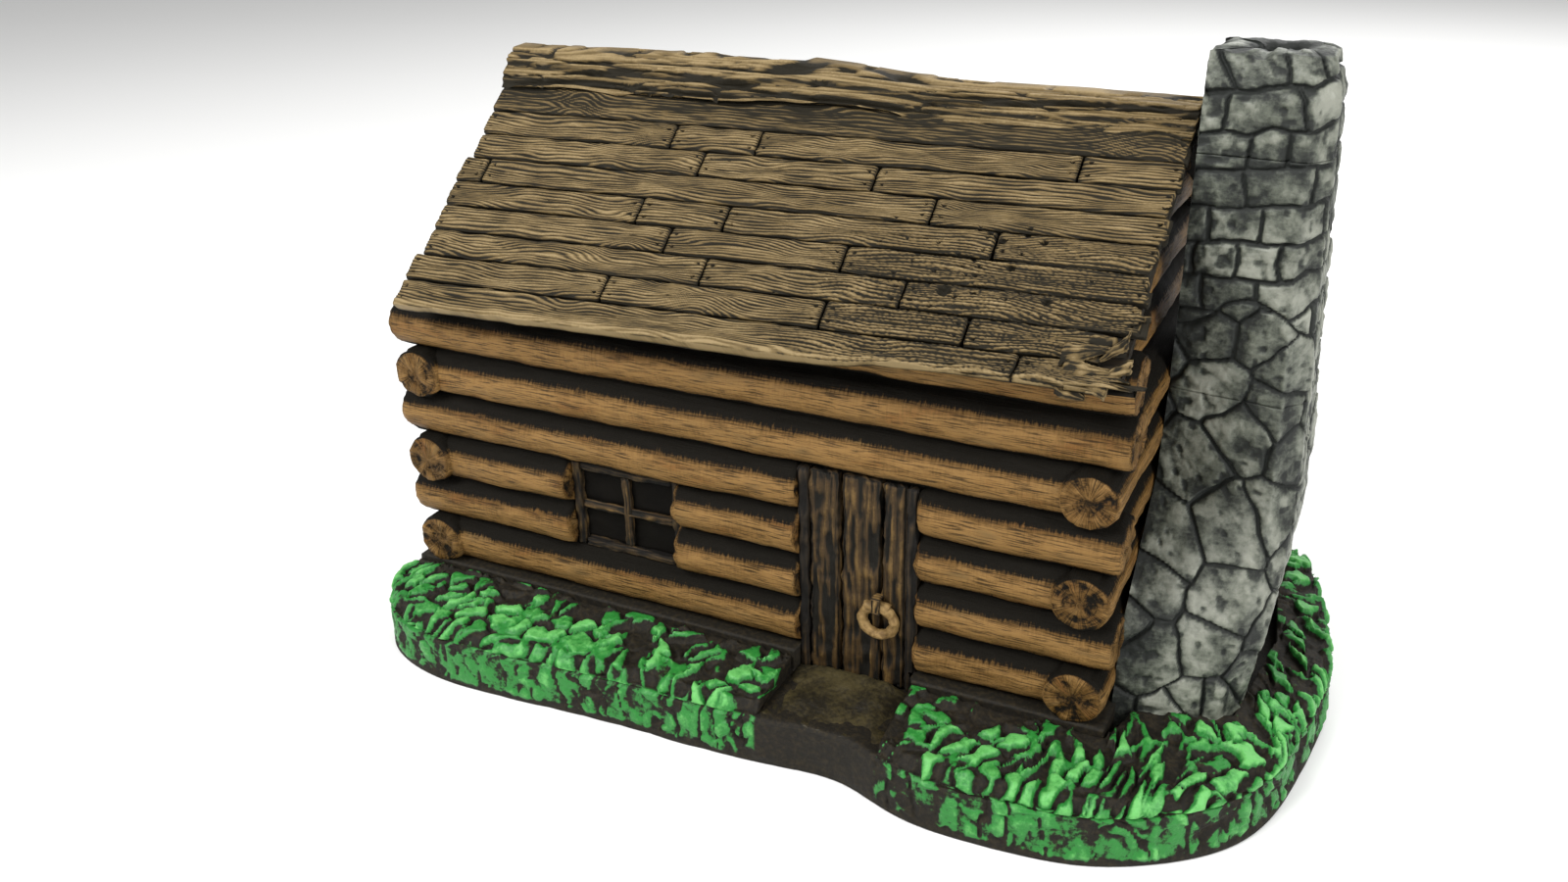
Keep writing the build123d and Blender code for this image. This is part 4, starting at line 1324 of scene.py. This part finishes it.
def tufts(s, w, seed, wide=2.5, tall=5.6, slant=0.55, bare=0.0):
    """Finger-like tufts from 0 to 1, leaning over; bare is how many are missing."""
    warp = 0.9 * noise(columns(s * 0.28, w * 0.28, seed), 61)
    warp = warp + 0.55 * noise(columns(s * 0.8, w * 0.8, seed), 71)
    warp_w = 1.1 * noise(columns(s * 0.25, w * 0.25, seed + 5), 62)
    warp_w = warp_w + 0.60 * noise(columns(s * 0.7, w * 0.7, 1), 72)
    swirl = slant * (0.6 + 0.9 * noise(columns(s * 0.05, w * 0.05, seed), 63))
    across, outward = s + swirl * w + warp, w + warp_w
    edge, finger = paving(across, outward, wide, tall, seed)
    there = smooth(finger, -0.70 + bare, -0.30 + bare)
    fingers = smooth(edge, 0.12, 0.95) * there * (0.75 + 0.25 * finger)
    worms = 1 - abs(noise(columns(across * 0.52, outward * 0.24, seed + 2), 64)) * 2.6
    clumps = smooth(noise(columns(s * 0.22, w * 0.22, seed + 9), 65), -0.55 + bare, 0.05 + bare)
    return np.maximum(fingers, 0.85 * np.clip(worms, 0, 1) * clumps)


# %% Ground slab
path_low, path_high = box_mm("door_path")
path_mid, path_half = (path_low[0] + path_high[0]) / 2, (path_high[0] - path_low[0]) / 2
jamb_low, jamb_high = frame_low[0], frame_high[0]


def slab_form(u, v):
    angle = 2 * math.pi * v - math.pi
    rim = rim_at(angle)
    s = np.interp(angle, turns, rim_travel)
    way = np.stack([np.cos(angle), np.sin(angle)], axis=1)
    reach = [np.where(way[:, i] > 0, plinth_high[i], plinth_low[i])
             / np.where(abs(way[:, i]) < 1e-6, 1e-6, way[:, i]) for i in (0, 1)]
    foot = way * np.minimum(abs(reach[0]), abs(reach[1]))[:, None]
    at_door = (foot[:, 0] > jamb_low - 0.1) & (foot[:, 0] < jamb_high + 0.1) & (foot[:, 1] < 0)
    foot[:, 1] += at_door * (frame_high[1] - plinth_low[1])
    # from the middle of the underside out to the rim, up the skirt, in to the footing and up over its top
    rings = [(rim * 0, 0), (rim * 0.997, 0), (rim * 0.992, SLAB_TOP - 0.5), (rim * 0.975, SLAB_TOP),
             (foot * 1.004, SLAB_TOP), (foot, plinth_high[2]), (foot * 0, plinth_high[2])]
    stops = np.array([0, 0.05, 0.45, 0.52, 0.62, 0.72, 1.0])
    stage = np.clip(np.searchsorted(stops, u, side="right") - 1, 0, 5)
    t = (u - stops[stage]) / (stops[stage + 1] - stops[stage])
    flat, z = np.zeros((len(u), 2)), np.zeros(len(u))
    for k in range(6):
        here = stage == k
        a, b = rings[k], rings[k + 1]
        flat[here] = (a[0] * (1 - t[:, None]) + b[0] * t[:, None])[here]
        z[here] = (a[1] * (1 - t) + b[1] * t)[here]
    skirt = smooth(u, 0.05, 0.09) * (1 - smooth(u, 0.50, 0.53))
    strokes = tufts(s, z, 3, 2.4, 6.0, 0.15)
    upright = noise(columns(s * 0.75, z * 0.16, 2), 66)
    cracks = smooth(abs(noise(columns(s * 0.42 + 0.06 * z, z * 0.09, 2), 70)), 0.13, 0.03)
    worn = smooth(z, 0.0, 1.6)
    from_path = abs(flat[:, 0] - path_mid)
    at_path = smooth(from_path, path_half + 1.2, path_half - 0.6) * (flat[:, 1] < 0)
    height = (0.55 * strokes + 0.22 * upright - 0.5 * cracks - 0.25) * skirt * worn * (1 - at_path)
    height = height + 0.3 * skirt * worn * layered(columns(s * 0.12, z * 0.1, 4), 67, 2)
    flat = flat + way * height[:, None]
    lumps = layered(columns(flat[:, 0] * 0.2, flat[:, 1] * 0.2, z * 0.2), 68, 3)
    z = z + 0.25 * lumps * smooth(u, 0.52, 0.56) * (1 - smooth(u, 0.70, 0.72))
    relief = np.where(skirt > 0.3, 0.42 + 0.38 * strokes + 0.25 * upright - 0.8 * cracks, 0.2 + 0.3 * lumps)
    relief = relief * (0.15 + 0.85 * smooth(z, 0.3, 1.4))
    green = skirt * (1 - at_path)
    return columns(flat[:, 0], flat[:, 1], z), columns(s, z, green), np.clip(relief, 0, 1.3)


# %% Turf and earth paints
def make_turf_paint(name, earth, soil_light, green, tip):
    paint = Paint(name, Specular_IOR_Level=0.3)
    relief = paint.attribute("relief")
    mask = paint.node("ShaderNodeSeparateXYZ", {}, {"Vector": paint.attribute("grain", "Vector")}, "Z")
    broad = paint.noise(paint.place((0.10, 0.10, 0.10)), 2.0)
    speckle = paint.noise(paint.place((1.2, 1.2, 1.2)), 4.0, 0.65)
    soil = paint.mix(speckle.step(0.4, 0.75), earth, soil_light)
    greened = (relief + (speckle - 0.5) * 0.8 + (broad - 0.5) * 0.9).step(0.42, 0.62) * mask.step(0.2, 0.6)
    tipped = (relief + (speckle - 0.5) * 0.8 + (broad - 0.5) * 0.5).step(0.70, 1.15) * mask.step(0.2, 0.6)
    colour = paint.mix(tipped, paint.mix(greened, soil, green), tip)
    return paint.finish(colour, 0.72 - 0.3 * greened, speckle, 0.5, 0.0004)


turf_paint = make_turf_paint("turf_paint", (0.005, 0.0035, 0.001), (0.020, 0.014, 0.005),
                             (0.018, 0.170, 0.026), (0.115, 0.40, 0.100))
slab = build_piece("carved_ground_slab", 120, 1150, slab_form)
finish_piece(slab, turf_paint, "earth_slab", "ground_slab")

earth_paint = Paint("earth_paint", Specular_IOR_Level=0.35)
earth_broad = earth_paint.noise(earth_paint.place((0.18, 0.18, 0.18)), 3.0)
earth_speck = earth_paint.noise(earth_paint.place((1.6, 1.6, 1.6)), 3.0)
dusty = (earth_broad * 0.6 + earth_speck * 0.4).step(0.36, 0.66)
earth_colour = earth_paint.mix(dusty, (0.008, 0.006, 0.002), (0.048, 0.037, 0.013))
earth_paint.finish(earth_colour, 0.55, earth_broad * 0.4 + earth_speck * 0.6, 0.5, 0.0004)

path = make_bar("carved_door_path", path_low, path_high, "y", 71, 0.5, deep=0.05)


def path_depth(points, grain, normals):
    waves = layered(points * [0.22, 0.16, 0.2], 72, 4)
    up = np.clip(normals[:, 2], 0, 1)
    hump = 1.5 * up * (1 - smooth(abs(points[:, 0] - path_mid), 4, 10))
    hump = hump * smooth(points[:, 1], path_low[1], path_high[1])
    return 0.5 * waves * (0.3 + 0.7 * up) + hump, 0.5 + 0.3 * waves


carve(path, path_depth)
finish_piece(path, earth_paint.material, "path_earth", "door_path")


# %% Turf banks
def make_bank(name, node, seed, *path):
    """A strip of turf between the walls and the outline: each stop is a place at the wall and a way out."""
    inner, ways = np.array(path, float)[:, :2], np.array(path, float)[:, 2:]
    steps = np.hypot(*np.diff(inner, axis=0).T) + 14 * np.hypot(*np.diff(ways, axis=0).T)
    stations = np.concatenate([[0], np.cumsum(steps)])
    total = stations[-1]
    piece, u, v = start_grid(name, int(total / 0.34), 84)
    share, shrink = end_caps(u, 0.008)
    place = share * total
    start = np.stack([np.interp(place, stations, inner[:, i]) for i in (0, 1)], axis=1)
    way = np.stack([np.interp(place, stations, ways[:, i]) for i in (0, 1)], axis=1)
    way = way / np.hypot(*way.T)[:, None]
    rows = np.unique(u.round(6), return_index=True, return_inverse=True)
    hit = rim_hit(start[rows[1]], way[rows[1]])[rows[2]]
    width = np.hypot(*(hit - start).T) - 0.9
    TOP = 0.82                                  # share of the wrap on the turf; the rest is underneath
    p = np.clip(v / TOP, 0, 1)                  # 0 at the outer foot, 1 at the wall
    under = v > TOP
    back = np.clip((v - TOP) / (1 - TOP), 0, 1)
    p = np.where(under, 1 - back, p)
    out = 1 - p
    flat = start + way * (width * np.where(under, out, np.minimum(out * 1.06, 1.0)))[:, None]
    s, w = travel_at(hit), (1 - p) * width
    rise = BANK_TOP - SLAB_TOP
    shape = smooth(p, 0.0, 0.16) * 0.72 + 0.28 * smooth(p, 0.1, 0.9)
    z = np.where(under, SLAB_TOP - 0.15, SLAB_TOP - 0.15 + rise * shape)
    worms = tufts(s, w, seed, bare=0.35 * smooth(p, 0.45, 0.9))
    rough = layered(columns(s * 0.6, w * 0.6, seed), 69, 3)
    ends = smooth(np.minimum(place, total - place), 0, 1.6)
    tall = (1 - 0.55 * smooth(p, 0.75, 1.0)) * (0.55 + 0.45 * ends)
    lift = np.where(under, 0, (1.75 * worms - 0.95 + 0.15 * rough) * tall)
    lean = 1 - smooth(p, 0.0, 0.35)
    z = z + lift * (1 - 0.45 * lean)
    flat = flat + way * (lift * 0.75 * lean)[:, None]
    centre = columns(start[:, 0] + way[:, 0] * width * 0.5, start[:, 1] + way[:, 1] * width * 0.5,
                     SLAB_TOP + rise * 0.3)
    points = centre + (columns(flat[:, 0], flat[:, 1], z) - centre) * shrink[:, None]
    # painted shade: the turf is painted darker towards the wall, where the wall shades the bank
    painted_shade_near_wall = 0.45 * smooth(p, 0.60, 1.0)
    relief = np.where(under, 0.05, 0.08 + 1.05 * worms + 0.12 * rough - painted_shade_near_wall)
    shape_piece(piece, points, columns(s, w, 1.0), np.clip(relief, 0, 1.3))
    return finish_piece(piece, turf_paint, "grass_green", node)


left_end = box_mm("grass_bank_front_left")[1][0]
rear_left_end = box_mm("grass_bank_rear_left")[1][0]
rear_right_start = box_mm("grass_bank_rear_right")[0][0]
x0, x1, y0, y1 = plinth_low[0] - 0.2, plinth_high[0] + 0.2, plinth_low[1] - 0.2, plinth_high[1] + 0.2
foot_out, foot_front, foot_rear = chimney_high[0], chimney_low[1], chimney_high[1]
seam_y = bank_high[1]         # where the two right-hand banks meet

# each stop: x and y at the wall, then the way out to the rim
make_bank("carved_bank_front_left", "grass_bank_front_left", 5,
          (left_end, y0, 0, -1), (x0 + 8, y0, -0.15, -1), (x0, y0, -0.9, -0.9), (x0, y0 + 6, -1, -0.2),
          (x0, chimney_y, -1, 0))
make_bank("carved_bank_rear_left", "grass_bank_rear_left", 6,
          (x0, chimney_y, -1, 0), (x0, y1 - 6, -1, 0.2), (x0, y1, -0.9, 0.9), (x0 + 8, y1, -0.15, 1),
          (rear_left_end, y1, 0, 1))
make_bank("carved_bank_right", "grass_bank_right", 7,
          (bank_low[0], y0, 0, -1), (x1 - 10, y0, 0.1, -1), (x1, y0, 0.35, -1),
          (chimney_x + 3, foot_front + 1, 0.45, -0.9), (foot_out - 3, foot_front + 6, 0.9, -0.7),
          (foot_out, chimney_y, 1, 0), (foot_out - 3, foot_rear - 6, 0.9, 0.6),
          (chimney_x + 3, foot_rear - 1, 0.7, 0.9), (x1, seam_y, 0.5, 0.9))
make_bank("carved_bank_rear_right", "grass_bank_rear_right", 8,
          (x1, seam_y, 0.5, 0.9), (x1, y1, 0.3, 1), (x1 - 10, y1, 0.05, 1), (rear_right_start, y1, 0, 1))
print("ground done")
